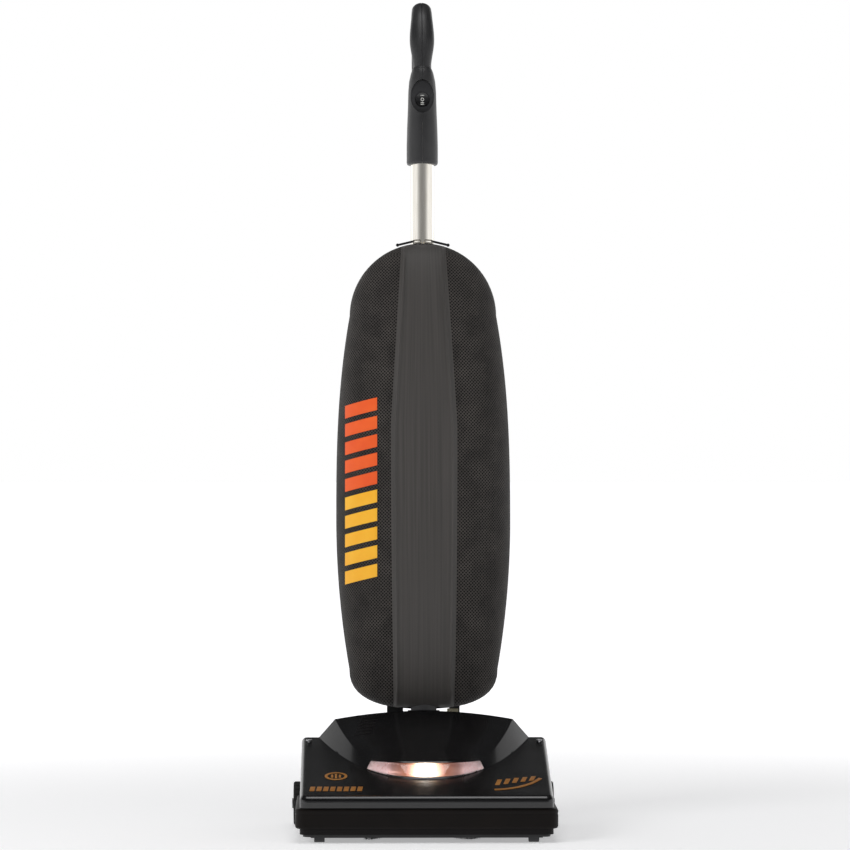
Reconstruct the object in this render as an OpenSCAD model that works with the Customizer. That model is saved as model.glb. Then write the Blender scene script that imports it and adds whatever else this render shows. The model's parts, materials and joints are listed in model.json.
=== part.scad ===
// Upright vacuum cleaner, battery powered, with a zipped cloth bag on a leaning handle.
// Z is up, the nozzle faces -Y, and the origin is on the floor at the middle of the machine.
// The base is drawn in its own frame, with Y counted back from the front of the nozzle.
// The handle and all that it carries are drawn in a frame at the pivot, with Z up the tube.

/* [Floor nozzle] */
// Width over the furniture guard
nozzle_w = 336; // [330:1:406]
// Length of the hood, front to back
nozzle_l = 230; // [226:1:280]
// Height of the furniture guard's top edge
guard_h = 45; // [44:0.5:48]
// Height of the hood at its shoulder, at the back
shoulder_h = 119; // [117:1:130]
// Height of the raised cover's ridge, at the back
ridge_h = 154; // [152:1:156]
// Diameter of the brush over the bristle tips
brush_d = 53; // [50:0.5:54]

/* [Wheels] */
// Diameter of the rear wheels over the tyres
rear_wheel_d = 58; // [46:0.5:70]
// Diameter of the front wheels
front_wheel_d = 26; // [22:0.5:28]
// Width of a front wheel
front_wheel_w = 13.4; // [10:0.1:14]

/* [Handle] */
// How far the parked handle leans back, in degrees
lean = 5; // [4:0.5:8]
// Height of the handle pivot above the floor
pivot_z = 78; // [76:1:84]
// Outer diameter of the handle tube
tube_d = 32; // [26:0.1:38.5]
// Height of the top of the tube above the pivot
tube_top = 870; // [820:5:1050]
// Widest part of the grip's lower body
grip_w = 42.4; // [42:0.2:50]

/* [Bag] */
// Width of the bag at its belly
bag_w = 230; // [214:1:276]
// Height of the bag's top above the pivot
bag_top = 700; // [680:1:740]
// Depth of the bag at its belly, from the zip to the front
bag_depth = 98; // [94:1:118]
// Half width of the centre strip at the top
strip_top = 29; // [24:0.5:32]
// Half width of the centre strip at the belly
strip_mid = 44; // [38:0.5:48]

/* [Battery] */
// Width of the battery pack
battery_w = 110; // [92:1:132]
// Height of the battery pack
battery_h = 170; // [150:1:204]
// Depth of the battery pack
battery_t = 44; // [38:1:52]

/* [Hidden] */
$fn = 64;

// Fits and walls
run = 0.08; // radial clearance of a shaft that turns in a bush
slip = 0.1; // radial clearance of a piece clamped round a tube
gap = 0.4; // clearance between faces of pieces that move apart
wall = 2.5; // wall of the moulded shells
e = 0.01; // lets a cut reach past the face that it opens

// Base, across
half_w = nozzle_w / 2;
hood_hw = half_w - 6;
brush_hw = half_w - 47;
wheel_x = half_w - 31;
rear_in = half_w - 15;
rear_out = half_w + 5;

// Base, heights
sole_z = 8;
floor_z = 11;
front_z = 59.4;
guard_low = 18.5;
hood_slope = (shoulder_h - front_z) / nozzle_l;

// Base, front to back
brush_y = 38.5;
brush_z = brush_d / 2 + 1.5;
core_r = 16;
chamber_end = brush_y + brush_d / 2 + 2;
front_wheel_y = 22;
rear_r = rear_wheel_d / 2;
axle_y = nozzle_l + max(rear_r, 29) + 3;
axle_r = 4;
tail_end = axle_y + 23;
screw_x = half_w - 16;
screw_y = nozzle_l - 18;
latch_x = half_w - 44;
latch_y = nozzle_l - 40;
pedal_y = axle_y + 10;
pedal_z = 28;
spring_y = axle_y + 17;

// Motor and fan on one shaft across the base
motor_y = 158;
motor_z = 70;
motor_r = 38;
motor_x = [-66, 44];
fan_x = [48, 82];
fan_r = 36;
shaft_r = 4;
pulley_r = 8;
belt_x = -95;
belt_w = 8;
belt_t = 1.6;

// Raised cover on the hood
cover_hw = half_w - 29;
cover_top_hw = half_w - 50;
cover_y = 67;
cover_top_y = 86;
cover_top_z = 98;
lens_hw = 74;
cover_rows = 12;

// Handle frame
pivot_y = axle_y;
trunnion_r = 7;
bush_r = 10;
drum_r = 29;
drum_hw = 26;
saddle_y = axle_y - drum_r - 1;
arm_x = [27, 48.5];
plate_x = [31.9, 34.9];
neck_v = [-34, -4];
neck_w = 74;
tube_r = tube_d / 2;
tube_v = 6 + tube_r;
boss_r = tube_r + 2.6;
yoke_w = [88, 130];
overall_l = pivot_y + (tube_v + 78) * cos(lean) + (tube_top + 80) * sin(lean);

// Bag outline, in the frame of the handle: height above the pivot against half width
belly = bag_w / 2;
arc_r = 0.852 * belly;
arc_w = bag_top - arc_r;
belly_w = 330;
corner_w = 130;
corner_hw = 0.84 * belly;
bag_low = 78;
gusset = 14;
skin_t = 3;
fold_w = 170;
zip_end_w = 132;
tape_t = 2.4;
fill_r = 17;
fill_v = -22;
fill_top = 560;

// Zip slider, on the crown of the bag
slider_turn = 7.4 / arc_r * 180 / PI;
slider_len = 11.5;
pull_x = 4.87;
pull_z = 4.6;

// Battery, behind the tube
dock_v = tube_v + tube_r + 3;
dock_w = [150, 150 + battery_h + 20];
pack_v = dock_v + 5.5;
pack_w = 160;
latch_w = [pack_w + battery_h - 62, pack_w + battery_h - 48];
rail_hw = 24;
socket_r = 2.8;
socket_depth = 10;

// Grip
collar_w = tube_top + 74;
switch_w = tube_top + 30;
grip_low_w = tube_top - 58;
grip_r = grip_w / 2;
face_v = tube_v - 9.8; // floor of the switch's recess
rocker_r = 9.2;
rocker_gap = 0.5; // lets the rocker tip in its hole
barrel_r = 11.6;
recess_half = [15.6, 23]; // half width and half height of the oval recess
recess_up = 4; // its middle above the rocker
dish_r = 26; // hollow face of the rocker

// ---------------------------------------------------------------- helpers

module in_base() {
  translate([0, -overall_l / 2, 0]) children();
}

module in_handle() {
  in_base() translate([0, pivot_y, pivot_z]) rotate([-lean, 0, 0]) children();
}

module span(x, y, z) {
  translate([x[0], y[0], z[0]]) cube([x[1] - x[0], y[1] - y[0], z[1] - z[0]]);
}

module rod_x(r, x) {
  translate([x[0], 0, 0]) rotate([0, 90, 0]) cylinder(r = r, h = x[1] - x[0]);
}

module ring_x(r_out, r_in, x) {
  difference() {
    rod_x(r_out, x);
    rod_x(r_in, [x[0] - 1, x[1] + 1]);
  }
}

module both_sides() {
  children();
  mirror([1, 0, 0]) children();
}

// A rectangle with round corners, from circles and squares
module round_rect(x, y, r) {
  translate([x[0] + r, y[0]]) square([x[1] - x[0] - 2 * r, y[1] - y[0]]);
  translate([x[0], y[0] + r]) square([x[1] - x[0], y[1] - y[0] - 2 * r]);
  for (px = [x[0] + r, x[1] - r])
    for (py = [y[0] + r, y[1] - r])
      translate([px, py]) circle(r = r);
}

// Raises a flat shape, drawn across and up, from v[1] forward to v[0]
module standing(v) {
  translate([0, v[1], 0]) rotate([90, 0, 0]) linear_extrude(v[1] - v[0]) children();
}

// The area inside a belt that runs round two pulleys
module belt_area(a, ra, b, rb) {
  hull() {
    translate(a) circle(r = ra);
    translate(b) circle(r = rb);
  }
}

// A closed skin between two grids of points of the same size
module skin(outer, inner) {
  n = len(outer);
  m = len(outer[0]);
  k = n * m;
  points = [for (g = [outer, inner]) for (row = g) each row];
  rim = concat(
    [for (j = [0:m - 1]) j],
    [for (i = [1:n - 1]) i * m + m - 1],
    [for (j = [m - 2:-1:0]) (n - 1) * m + j],
    [for (i = [n - 2:-1:1]) i * m]
  );
  faces = concat(
    [for (i = [0:n - 2]) for (j = [0:m - 2]) [i * m + j, i * m + j + 1, (i + 1) * m + j + 1]],
    [for (i = [0:n - 2]) for (j = [0:m - 2]) [i * m + j, (i + 1) * m + j + 1, (i + 1) * m + j]],
    [for (i = [0:n - 2]) for (j = [0:m - 2]) [k + i * m + j, k + (i + 1) * m + j + 1, k + i * m + j + 1]],
    [for (i = [0:n - 2]) for (j = [0:m - 2]) [k + i * m + j, k + (i + 1) * m + j, k + (i + 1) * m + j + 1]],
    [for (i = [0:len(rim) - 1]) [rim[(i + 1) % len(rim)], rim[i], k + rim[i]]],
    [for (i = [0:len(rim) - 1])
      [rim[(i + 1) % len(rim)], k + rim[i], k + rim[(i + 1) % len(rim)]]]
  );
  polyhedron(points, faces, convexity = 6);
}

// ---------------------------------------------------------------- base: shells

function hood_z(y) = front_z + hood_slope * y;

module base_outline(inset, back) {
  round_rect([inset - hood_hw, hood_hw - inset], [3 + inset, back], 10 - inset);
}

module base_shell() {
  color("#17151a") in_base() difference() {
    union() {
      translate([0, 0, floor_z]) linear_extrude(3) base_outline(0, nozzle_l);
      translate([0, 0, floor_z]) linear_extrude(guard_h - floor_z) difference() {
        base_outline(0, nozzle_l);
        base_outline(wall, nozzle_l - wall);
      }
      // Brush chamber: front baffle, roof and back wall
      span([-brush_hw - 7, brush_hw + 7], [8, 10], [floor_z, 58]);
      span([-brush_hw - 7, brush_hw + 7], [8, chamber_end + 2], [56, 58]);
      span([wall - hood_hw, hood_hw - wall], [chamber_end, chamber_end + 2], [floor_z, 58]);
      // Webs beside the front wheels
      both_sides() for (x = [wheel_x - 10.5, wheel_x + 8.5])
        span([x, x + 2], [8, 40], [floor_z, front_wheel_d / 2 + 16]);
      // Tail plate, axle brackets and handle pedestals
      span([20 - half_w, half_w - 20], [nozzle_l - 8, tail_end], [floor_z, 19]);
      both_sides() for (x = [half_w - 40, half_w - 23])
        span([x, x + 3], [axle_y - 14, axle_y + 14], [floor_z, rear_r + 11]);
      both_sides() span([50, 62], [axle_y - 14, axle_y + 14], [floor_z, pivot_z]);
      both_sides() translate([0, axle_y, pivot_z]) rod_x(14, [50, 62]);
      // Cradle rings for the motor
      for (x = [motor_x[0] + 10, motor_x[1] - 14])
        span([x, x + 4], [motor_y - 30, motor_y + 30], [floor_z, motor_z]);
      // Posts for the hood screws
      both_sides() translate([screw_x, screw_y, floor_z]) cylinder(r = 6, h = hood_z(screw_y) - floor_z - 6);
      // Lugs of the pedal pin
      for (x = [27.2, 39.8]) span([x, x + 3], [pedal_y - 4.5, pedal_y + 5], [floor_z, pedal_z + 5]);
    }
    // Suction mouth and front wheel wells
    span([-brush_hw, brush_hw], [13, chamber_end - 3], [0, floor_z + 4]);
    both_sides() span([wheel_x - 8.5, wheel_x + 8.5], [6, 40], [0, floor_z + 4]);
    both_sides() translate([0, front_wheel_y, front_wheel_d / 2])
      rod_x(2.5, [wheel_x - 12, wheel_x + 12]);
    // Seats of the brush end caps in the roof
    both_sides() span([brush_hw + 0.2, brush_hw + 5.2], [10 - e, chamber_end + e], [0, 56]);
    // Way of the belt and the suction port in the back wall
    span([belt_x - 7, belt_x + 7], [chamber_end - 1, chamber_end + 3], [16, 60]);
    span([belt_x - 7, belt_x + 7], [48, chamber_end + 3], [40, 60]);
    span([72, 112], [chamber_end - 1, chamber_end + 3], [22, 54]);
    // Bores for the rear axle, the bushes and the pedal pin
    translate([0, axle_y, rear_r]) rod_x(axle_r, [-half_w, half_w]);
    translate([0, axle_y, pivot_z]) rod_x(bush_r, [-63, 63]);
    translate([0, pedal_y, pedal_z]) rod_x(2 + run, [27, 43]);
    translate([0, motor_y, motor_z]) rod_x(motor_r + gap, motor_x);
    // Seat of the pedal spring
    translate([35, spring_y, 16]) cylinder(r = 5.4, h = 10);
    // Holes for the latch stems
    both_sides() translate([latch_x, latch_y, 0]) cylinder(r = 4 + gap, h = 20);
    // Pilot holes for the hood screws
    both_sides() translate([screw_x, screw_y, 60]) cylinder(r = 2, h = 60);
  }
}

// Half widths of the raised cover's foot and top at each row, and where the rows lie
function row_u(i) = i / cover_rows;
function foot_pt(i, grow) =
  let (u = row_u(i), y = cover_y + (nozzle_l - cover_y) * pow(u, 2.5))
  [(cover_hw + grow) * u, y - grow * (1 - u), hood_z(y)];
function top_y(i) = cover_top_y + (nozzle_l - cover_top_y) * pow(row_u(i), 3.2);
function edge_z(y) = cover_top_z + 0.402 * max(0, y - 118);
function ridge_z(y) =
  cover_top_z + (ridge_h - cover_top_z) * (y - cover_top_y) / (nozzle_l - cover_top_y);
function top_pt(i, k, grow) =
  let (y = top_y(i), x = (cover_top_hw + grow) * row_u(i) * k)
  [x, y - grow * (1 - row_u(i)), edge_z(y) + (ridge_z(y) - edge_z(y)) * (1 - k * k) + grow];

// The raised cover as a solid, grown by some amount all round and sunk by some depth
module cover_solid(grow, sink) {
  n = cover_rows;
  m = 8;
  ks = [for (k = [0:m]) 2 * k / m - 1];
  back = grow < 0 ? [0, grow, 0] : [0, 0, 0];
  foot = [for (i = [-n:n]) let (p = foot_pt(abs(i), grow)) [sign(i) * p[0], p[1], p[2] - sink]];
  top = [for (i = [1:n]) [for (k = ks) top_pt(i, k, grow)]];
  shift = [for (p = foot) p[1] > nozzle_l - 1 ? p + back : p];
  rows = [for (i = [0:n - 1]) i == n - 1 ? [for (p = top[i]) p + back] : top[i]];
  tip = len(foot);
  base = tip + 1;
  points = concat(shift, [top_pt(0, 0, grow)], [for (r = rows) each r]);
  at = function(i, k) base + (i - 1) * (m + 1) + k;
  side = function(i) i == 0 ? tip : i < 0 ? at(-i, 0) : at(i, m);
  faces = concat(
    [[for (i = [0:2 * n]) i]],
    [for (i = [-n:n - 1]) [n + i + 1, n + i, side(i)]],
    [for (i = [-n:n - 1]) [n + i + 1, side(i), side(i + 1)]],
    [for (k = [0:m - 1]) [tip, at(1, k), at(1, k + 1)]],
    [for (i = [1:n - 1]) for (k = [0:m - 1]) [at(i, k), at(i + 1, k), at(i + 1, k + 1)]],
    [for (i = [1:n - 1]) for (k = [0:m - 1]) [at(i, k), at(i + 1, k + 1), at(i, k + 1)]],
    [concat([0, 2 * n], [for (k = [m:-1:0]) at(n, k)])]
  );
  polyhedron(points, faces, convexity = 6);
}

// The low hood as a solid, drawn in by some amount
module hood_wedge(inset, low) {
  rotate([90, 0, 90]) translate([0, 0, inset - hood_hw])
    linear_extrude(2 * (hood_hw - inset))
      polygon([
        [inset, low], [inset, front_z - 6 - inset / 2], [6, hood_z(4) - inset],
        [nozzle_l - inset, hood_z(nozzle_l) - inset], [nozzle_l - inset, low]
      ]);
}

// The plan of the headlight, between the foot and the top of the raised cover
module lens_plan(inset) {
  n = cover_rows;
  hw = lens_hw - inset;
  at_foot = [for (i = [-4:4]) let (x = hw * i / 4, u = abs(x) / cover_hw)
    [x, cover_y - 3 + inset + (nozzle_l - cover_y) * pow(u, 2.5)]];
  at_top = [for (i = [4:-1:-4]) let (x = hw * i / 4, u = abs(x) / cover_top_hw)
    [x, cover_top_y - 1 - inset + (nozzle_l - cover_top_y) * pow(u, 3.2)]];
  polygon(concat(at_foot, at_top));
}

module hood() {
  color("#1c1c1e") in_base() difference() {
    union() {
      hood_wedge(0, guard_h);
      cover_solid(0, 3);
    }
    hood_wedge(wall, guard_h - 1);
    cover_solid(-wall, 6);
    translate([0, 0, 70]) linear_extrude(cover_top_z - 1 - 70) lens_plan(0);
    // Notch at the back for the swivel duct
    span([-37, 37], [nozzle_l - 6, nozzle_l + 1], [guard_h - 1, pivot_z + 40]);
    // Screw holes on the shoulders
    both_sides() translate([screw_x, screw_y, 90]) cylinder(r = 2.2, h = 60);
  }
}

module bumper() {
  color("#141214") in_base() translate([0, 0, guard_low]) linear_extrude(guard_h - guard_low - 1)
    difference() {
      round_rect([-half_w, half_w], [0, nozzle_l - 12], 13);
      round_rect([-hood_hw - gap / 4, hood_hw + gap / 4], [3 - gap / 4, nozzle_l + 20], 10);
      translate([-half_w, nozzle_l - 20]) square([nozzle_w, 30]);
    }
}

module sole_plate() {
  color("#1f1f21") in_base() difference() {
    union() {
      translate([0, 0, sole_z]) linear_extrude(floor_z - sole_z)
        round_rect([4 - hood_hw, hood_hw - 4], [5, nozzle_l - 6], 8);
      // Turned lip under the front edge
      span([20 - half_w, half_w - 20], [5, 8], [sole_z - 1, sole_z + 1]);
    }
    span([-brush_hw, brush_hw], [13, chamber_end - 3], [0, 20]);
    both_sides() span([wheel_x - 12, wheel_x + 12], [8, 40], [0, 20]);
    both_sides() translate([latch_x, latch_y, 0]) cylinder(r = 4 + gap, h = 20);
  }
}

module sole_latch(side) {
  color("gainsboro") in_base() translate([side * latch_x, latch_y, 0]) {
    difference() {
      translate([0, 0, sole_z - 3 - gap]) cylinder(r = 9, h = 3);
      span([-7, 7], [-1, 1], [0, sole_z - 2]);
    }
    translate([0, 0, sole_z - 1]) cylinder(r = 4, h = 9);
  }
}

module sole_latch_left() {
  sole_latch(-1);
}

module sole_latch_right() {
  sole_latch(1);
}

module hood_screws() {
  color("silver") in_base() both_sides() translate([screw_x, screw_y, 0]) {
    translate([0, 0, hood_z(screw_y) + 1.1]) cylinder(r = 4, h = 2);
    translate([0, 0, hood_z(screw_y) - 18]) cylinder(r = 2, h = 20);
  }
}

// ---------------------------------------------------------------- base: headlight

module headlight_lens() {
  color("white") in_base() intersection() {
    difference() {
      cover_solid(-0.2, 3);
      cover_solid(-wall, 6);
    }
    translate([0, 0, 70]) linear_extrude(cover_top_z - 1.4 - 70) lens_plan(0.4);
  }
}

module headlight_reflector() {
  color("gainsboro") in_base() difference() {
    span([-52, 52], [100, 114], [73, 92]);
    span([-50, 50], [99, 112], [75, 90]);
  }
}

module led_module() {
  color("ivory") in_base() {
    span([-44, 44], [109.5, 112], [76, 89]);
    for (x = [-36:12:36]) span([x - 2, x + 2], [107.5, 109.5], [80.5, 84.5]);
  }
}

// ---------------------------------------------------------------- base: motor, fan and ducts

module at_motor() {
  in_base() translate([0, motor_y, motor_z]) children();
}

module motor_casing() {
  color("dimgray") at_motor() difference() {
    rod_x(motor_r, motor_x);
    rod_x(motor_r - 2, [motor_x[0] + 3, motor_x[1] - 3]);
    rod_x(shaft_r + run, [motor_x[0] - 1, motor_x[1] + 1]);
    // Cooling slots at the commutator end
    for (a = [0:30:330]) rotate([a, 0, 0]) span([22, 38], [-3, 3], [motor_r - 6, motor_r + 4]);
  }
}

module motor_stator() {
  color("slategray") at_motor() ring_x(motor_r - 2 - slip, 21, [-46, 14]);
}

module motor_rotor() {
  color("peru") at_motor() {
    rod_x(shaft_r, [belt_x - 8, fan_x[1] - 3]);
    rod_x(20, [-44, 12]);
    rod_x(12, [18, 34]);
    // Drive pulley with two flanges
    rod_x(pulley_r, [belt_x - 5, belt_x + 5]);
    for (x = [-6.5, 5]) rod_x(pulley_r + 3, [belt_x + x, belt_x + x + 1.5]);
  }
}

module fan_impeller() {
  color("dimgray") at_motor() difference() {
    union() {
      rod_x(fan_r - 4, [fan_x[0] + 6, fan_x[0] + 8]);
      rod_x(9, [fan_x[0] + 6, fan_x[1] - 10]);
      // Backward swept blades
      for (a = [0:40:320]) rotate([a, 0, 0]) translate([0, 0, 8]) rotate([24, 0, 0])
        span([fan_x[0] + 7, fan_x[1] - 12], [-0.8, 0.8], [0, fan_r - 14]);
    }
    rod_x(shaft_r, [fan_x[0], fan_x[1]]);
  }
}

module fan_cover() {
  color("#2a2a2c") at_motor() difference() {
    union() {
      rod_x(fan_r, fan_x);
      // Outlet at the bottom, towards the back
      span([fan_x[0] + 2, fan_x[1] - 2], [0, 44], [-fan_r, -fan_r + 32]);
    }
    rod_x(fan_r - 2, [fan_x[0] + 2, fan_x[1] - 2]);
    span([fan_x[0] + 4, fan_x[1] - 4], [0, 45], [-fan_r + 2, -fan_r + 30]);
    rod_x(15, [fan_x[1] - 3, fan_x[1] + 1]);
    rod_x(shaft_r + 1, [fan_x[0] - 1, fan_x[0] + 3]);
  }
}

module suction_duct() {
  x = [fan_x[1], fan_x[1] + 34];
  low = [chamber_end + 2, motor_y - 20];
  tall = [motor_y - 26, motor_y + 26];
  color("#2a2a2c") in_base() difference() {
    union() {
      span(x, low, [20, 64]);
      span(x, tall, [20, 88]);
    }
    span(x + [2, -2], low + [-1, 0], [22, 62]);
    span(x + [2, -2], tall + [2, -2], [22, 86]);
    translate([0, motor_y, motor_z]) rod_x(15, [x[0] - 1, x[0] + 3]);
  }
}

module blower_duct() {
  y = [motor_y + 44, nozzle_l - 4];
  low = motor_z - fan_r;
  color("#2a2a2c") in_base() difference() {
    union() {
      span([-22, fan_x[1] + 2], y, [low - 2, pivot_z + 2]);
      span([-20, 20], [y[1] - 1, saddle_y], [48, pivot_z + 2]);
    }
    span([-20, fan_x[1]], y + [2, -2], [low, pivot_z]);
    span([fan_x[0] + 4, fan_x[1] - 4], [y[0] - 1, y[0] + 3], [low + 2, low + 30]);
    span([-16, 16], [y[1] - 3, saddle_y + 1], [52, pivot_z - 2]);
  }
}

module duct_saddle() {
  color("#232326") in_base() difference() {
    span([-drum_hw, drum_hw], [saddle_y, axle_y - axle_r - 1], [19, pivot_z + 4]);
    translate([0, axle_y, pivot_z]) rod_x(drum_r + gap, [-drum_hw - 1, drum_hw + 1]);
    span([-16, 16], [nozzle_l, axle_y], [52, pivot_z - 2]);
  }
}

module control_board() {
  color("darkgreen") in_base() translate([-hood_hw + 10, 110, 22]) {
    cube([44, 90, 1.6]);
    for (y = [8, 40, 66]) translate([8, y, 1.6]) cube([24, 14, 10]);
    for (x = [4, 40]) for (y = [4, 86]) translate([x, y, 14 - 22]) cylinder(r = 3, h = 8);
  }
}

// ---------------------------------------------------------------- base: brush and belt

module at_brush() {
  in_base() translate([0, brush_y, brush_z]) children();
}

module brush_roller() {
  color("#3b2f2f") at_brush() difference() {
    union() {
      rod_x(core_r, [-brush_hw + 1, brush_hw - 1]);
      rod_x(4, [-brush_hw - 4.5, brush_hw + 4.5]);
    }
    // Belt groove
    ring_x(core_r + 1, core_r - 2, [belt_x - 5, belt_x + 5]);
  }
}

// Two spirals of tufts, clear of the belt
module brush_bristles() {
  step = 8;
  first = belt_x + 16;
  count = floor((brush_hw - 4 - first) / step);
  color("#202020") at_brush()
    for (i = [0:count])
      for (half = [0, 180])
        rotate([half + i * 270 / count, 0, 0])
          translate([first + i * step, 0, core_r + 0.1])
            cylinder(r1 = 1.6, r2 = 2.2, h = brush_d / 2 - core_r - 0.1, $fn = 16);
}

module brush_end_caps() {
  color("#2a2a2c") at_brush() both_sides() difference() {
    span([brush_hw + 0.4, brush_hw + 5], [-14, 14], [floor_z - brush_z, 14]);
    rod_x(4 + run, [brush_hw, brush_hw + 6]);
  }
}

module drive_belt() {
  a = [brush_y, brush_z];
  b = [motor_y, motor_z];
  ra = core_r - 2 + gap;
  rb = pulley_r + gap;
  color("#111111") in_base() translate([belt_x - belt_w / 2, 0, 0]) rotate([90, 0, 90])
    linear_extrude(belt_w) difference() {
      belt_area(a, ra + belt_t, b, rb + belt_t);
      belt_area(a, ra, b, rb);
    }
}

// ---------------------------------------------------------------- base: wheels

module front_wheel(side) {
  r = front_wheel_d / 2;
  x = [side * wheel_x - front_wheel_w / 2, side * wheel_x + front_wheel_w / 2];
  color("#202022") in_base() translate([0, front_wheel_y, r]) difference() {
    rod_x(r, x);
    rod_x(2.5 + run, x + [-1, 1]);
    for (s = [0, 1]) ring_x(r - 3, 5, s == 0 ? [x[0] - 1, x[0] + 1.5] : [x[1] - 1.5, x[1] + 1]);
  }
}

module front_wheel_left() {
  front_wheel(-1);
}

module front_wheel_right() {
  front_wheel(1);
}

module wheel_axles() {
  color("silver") in_base() {
    both_sides() translate([0, front_wheel_y, front_wheel_d / 2])
      rod_x(2.5, [wheel_x - 11.5, wheel_x + 11.5]);
    translate([0, axle_y, rear_r]) {
      rod_x(axle_r, [-rear_out - gap, rear_out + gap]);
      both_sides() rod_x(7, [rear_out + gap, rear_out + 2]);
    }
  }
}

module rear_wheel(side) {
  x = side < 0 ? [-rear_out, -rear_in] : [rear_in, rear_out];
  color("#2b2b2d") in_base() translate([0, axle_y, rear_r]) difference() {
    rod_x(rear_r - 6, x);
    rod_x(axle_r + run, x + [-1, 1]);
    ring_x(rear_r - 9, 9, side < 0 ? [x[0] - 1, x[0] + 4] : [x[1] - 4, x[1] + 1]);
    ring_x(rear_r - 9, 9, side < 0 ? [x[1] - 4, x[1] + 1] : [x[0] - 1, x[0] + 4]);
  }
}

module rear_tyre(side) {
  x = side < 0 ? [-rear_out, -rear_in] : [rear_in, rear_out];
  color("#161616") in_base() translate([0, axle_y, rear_r]) ring_x(rear_r, rear_r - 6, x);
}

module rear_wheel_left() {
  rear_wheel(-1);
}

module rear_wheel_right() {
  rear_wheel(1);
}

module rear_tyre_left() {
  rear_tyre(-1);
}

module rear_tyre_right() {
  rear_tyre(1);
}

// ---------------------------------------------------------------- base: pivot and pedal

module pivot_bushes() {
  color("ivory") in_base() both_sides() translate([0, axle_y, pivot_z]) {
    ring_x(bush_r, trunnion_r + run, [50, 62]);
    ring_x(bush_r + 3, trunnion_r + run, [62, 64]);
  }
}

module release_pedal() {
  color("#1b1b1d") in_base() difference() {
    union() {
      // Pin, lever, pad and the nose that meets the detent plate
      translate([0, pedal_y, pedal_z]) rod_x(2, [27.2, 42.8]);
      translate([0, pedal_y, pedal_z]) rod_x(4.6, [30.8, 39.2]);
      span([30.8, 39.2], [pedal_y, axle_y + 40], [pedal_z - 4, pedal_z + 4.6]);
      span([14, 54], [axle_y + 36, axle_y + 62], [pedal_z, pedal_z + 6]);
      span([plate_x[0] - 1, plate_x[1] + 1], [pedal_y + 4, pedal_y + 14], [pedal_z, pivot_z - 22]);
    }
    translate([0, axle_y, pivot_z]) rod_x(34 + gap, [20, 50]);
    // Grip lines on the pad
    for (y = [40:5:58]) span([16, 52], [axle_y + y, axle_y + y + 1.5], [pedal_z + 5, pedal_z + 7]);
  }
}

module pedal_spring() {
  wire_r = 0.7;
  turns = 4;
  pitch = (pedal_z - 4 - 16 - 2 * wire_r) / (turns - 1);
  color("silver") in_base() translate([35, spring_y, 16 + wire_r])
    for (i = [0:turns - 1]) translate([0, 0, i * pitch])
      rotate_extrude() translate([3.8, 0]) circle(r = wire_r, $fn = 16);
}

// ---------------------------------------------------------------- handle: yoke and duct

module yoke() {
  color("#202022") in_handle() difference() {
    union() {
      for (s = [-1, 1]) {
        x = s < 0 ? [-arm_x[1], -arm_x[0]] : [plate_x[1], arm_x[1]];
        rod_x(18, x);
        span(x, [3.5, 24], [0, yoke_w[0] + 12]);
        rod_x(trunnion_r, s < 0 ? [-68, -arm_x[1] + 2] : [arm_x[1] - 2, 68]);
      }
      span([-arm_x[1], arm_x[1]], [3.5, tube_v + boss_r - 4], [yoke_w[0], yoke_w[0] + 12]);
      translate([0, tube_v, yoke_w[0]]) cylinder(r = boss_r, h = yoke_w[1] - yoke_w[0]);
    }
    translate([0, tube_v, yoke_w[0] + 4]) cylinder(r = tube_r + slip, h = 60);
    translate([0, tube_v, yoke_w[0] - 1]) cylinder(r = 5, h = 20);
    translate([0, tube_v, yoke_w[1] - 18]) rod_x(2.5, [-30, 30]);
  }
}

module detent_plate() {
  color("silver") in_handle() difference() {
    union() {
      rod_x(34, plate_x);
      span(plate_x, [0.5, 24], [0, bag_low - 1]);
      span([plate_x[0], arm_x[1] - 2], [0.5, 3.5], [22, bag_low - 1]);
    }
    rod_x(trunnion_r, [20, 50]);
    // Parking notch, where the pedal nose catches
    rotate([-52 + lean, 0, 0]) span([20, 50], [31, 36], [-5, 5]);
    span([20, 50], [-40, -12], [-40, 40]);
  }
}

module swivel_drum() {
  color("#232326") in_handle() difference() {
    union() {
      rod_x(drum_r, [-drum_hw, drum_hw]);
      span([-21, 21], neck_v, [16, neck_w]);
    }
    rod_x(drum_r - 3, [-drum_hw + 3, drum_hw - 3]);
    span([-18.5, 18.5], neck_v + [2.5, -2.5], [10, neck_w - 6]);
    translate([0, fill_v, neck_w - 10]) cylinder(r = 12, h = 20);
    // Air window, wide enough for every angle of the handle
    span([-18, 18], [-drum_r - 3, -2], [-drum_r - 3, 6]);
  }
}

module fill_tube() {
  color("#2a2a2c") in_handle() translate([0, fill_v, neck_w]) difference() {
    cylinder(r = fill_r, h = fill_top - neck_w);
    translate([0, 0, -1]) cylinder(r = fill_r - 2, h = fill_top - neck_w + 2);
  }
}

module handle_tube() {
  color("gainsboro") in_handle() difference() {
    translate([0, tube_v, yoke_w[0] + 4]) cylinder(r = tube_r, h = tube_top - yoke_w[0] - 4);
    translate([0, tube_v, 0]) cylinder(r = tube_r - 1.5, h = tube_top + 10);
    translate([0, tube_v, yoke_w[1] - 18]) rod_x(2.5, [-30, 30]);
  }
}

// ---------------------------------------------------------------- handle: bag

function bag_half(w) =
  w >= arc_w ? sqrt(max(0, arc_r * arc_r - pow(w - arc_w, 2)))
  : w >= belly_w ? belly - (belly - arc_r) * pow((w - belly_w) / (arc_w - belly_w), 2)
  : w >= corner_w ? belly - (belly - corner_hw) * pow((belly_w - w) / (belly_w - corner_w), 2)
  : corner_hw * pow(max(0, 1 - pow((corner_w - w) / (corner_w - bag_low), 2.5)), 1 / 2.5);

function bag_crown(w) =
  let (u = (w - belly_w) / (w > belly_w ? bag_top - belly_w : belly_w - bag_low))
  gusset + (bag_depth - gusset) * pow(max(0, 1 - pow(abs(u), 2.4)), 1 / 2.4);

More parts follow.
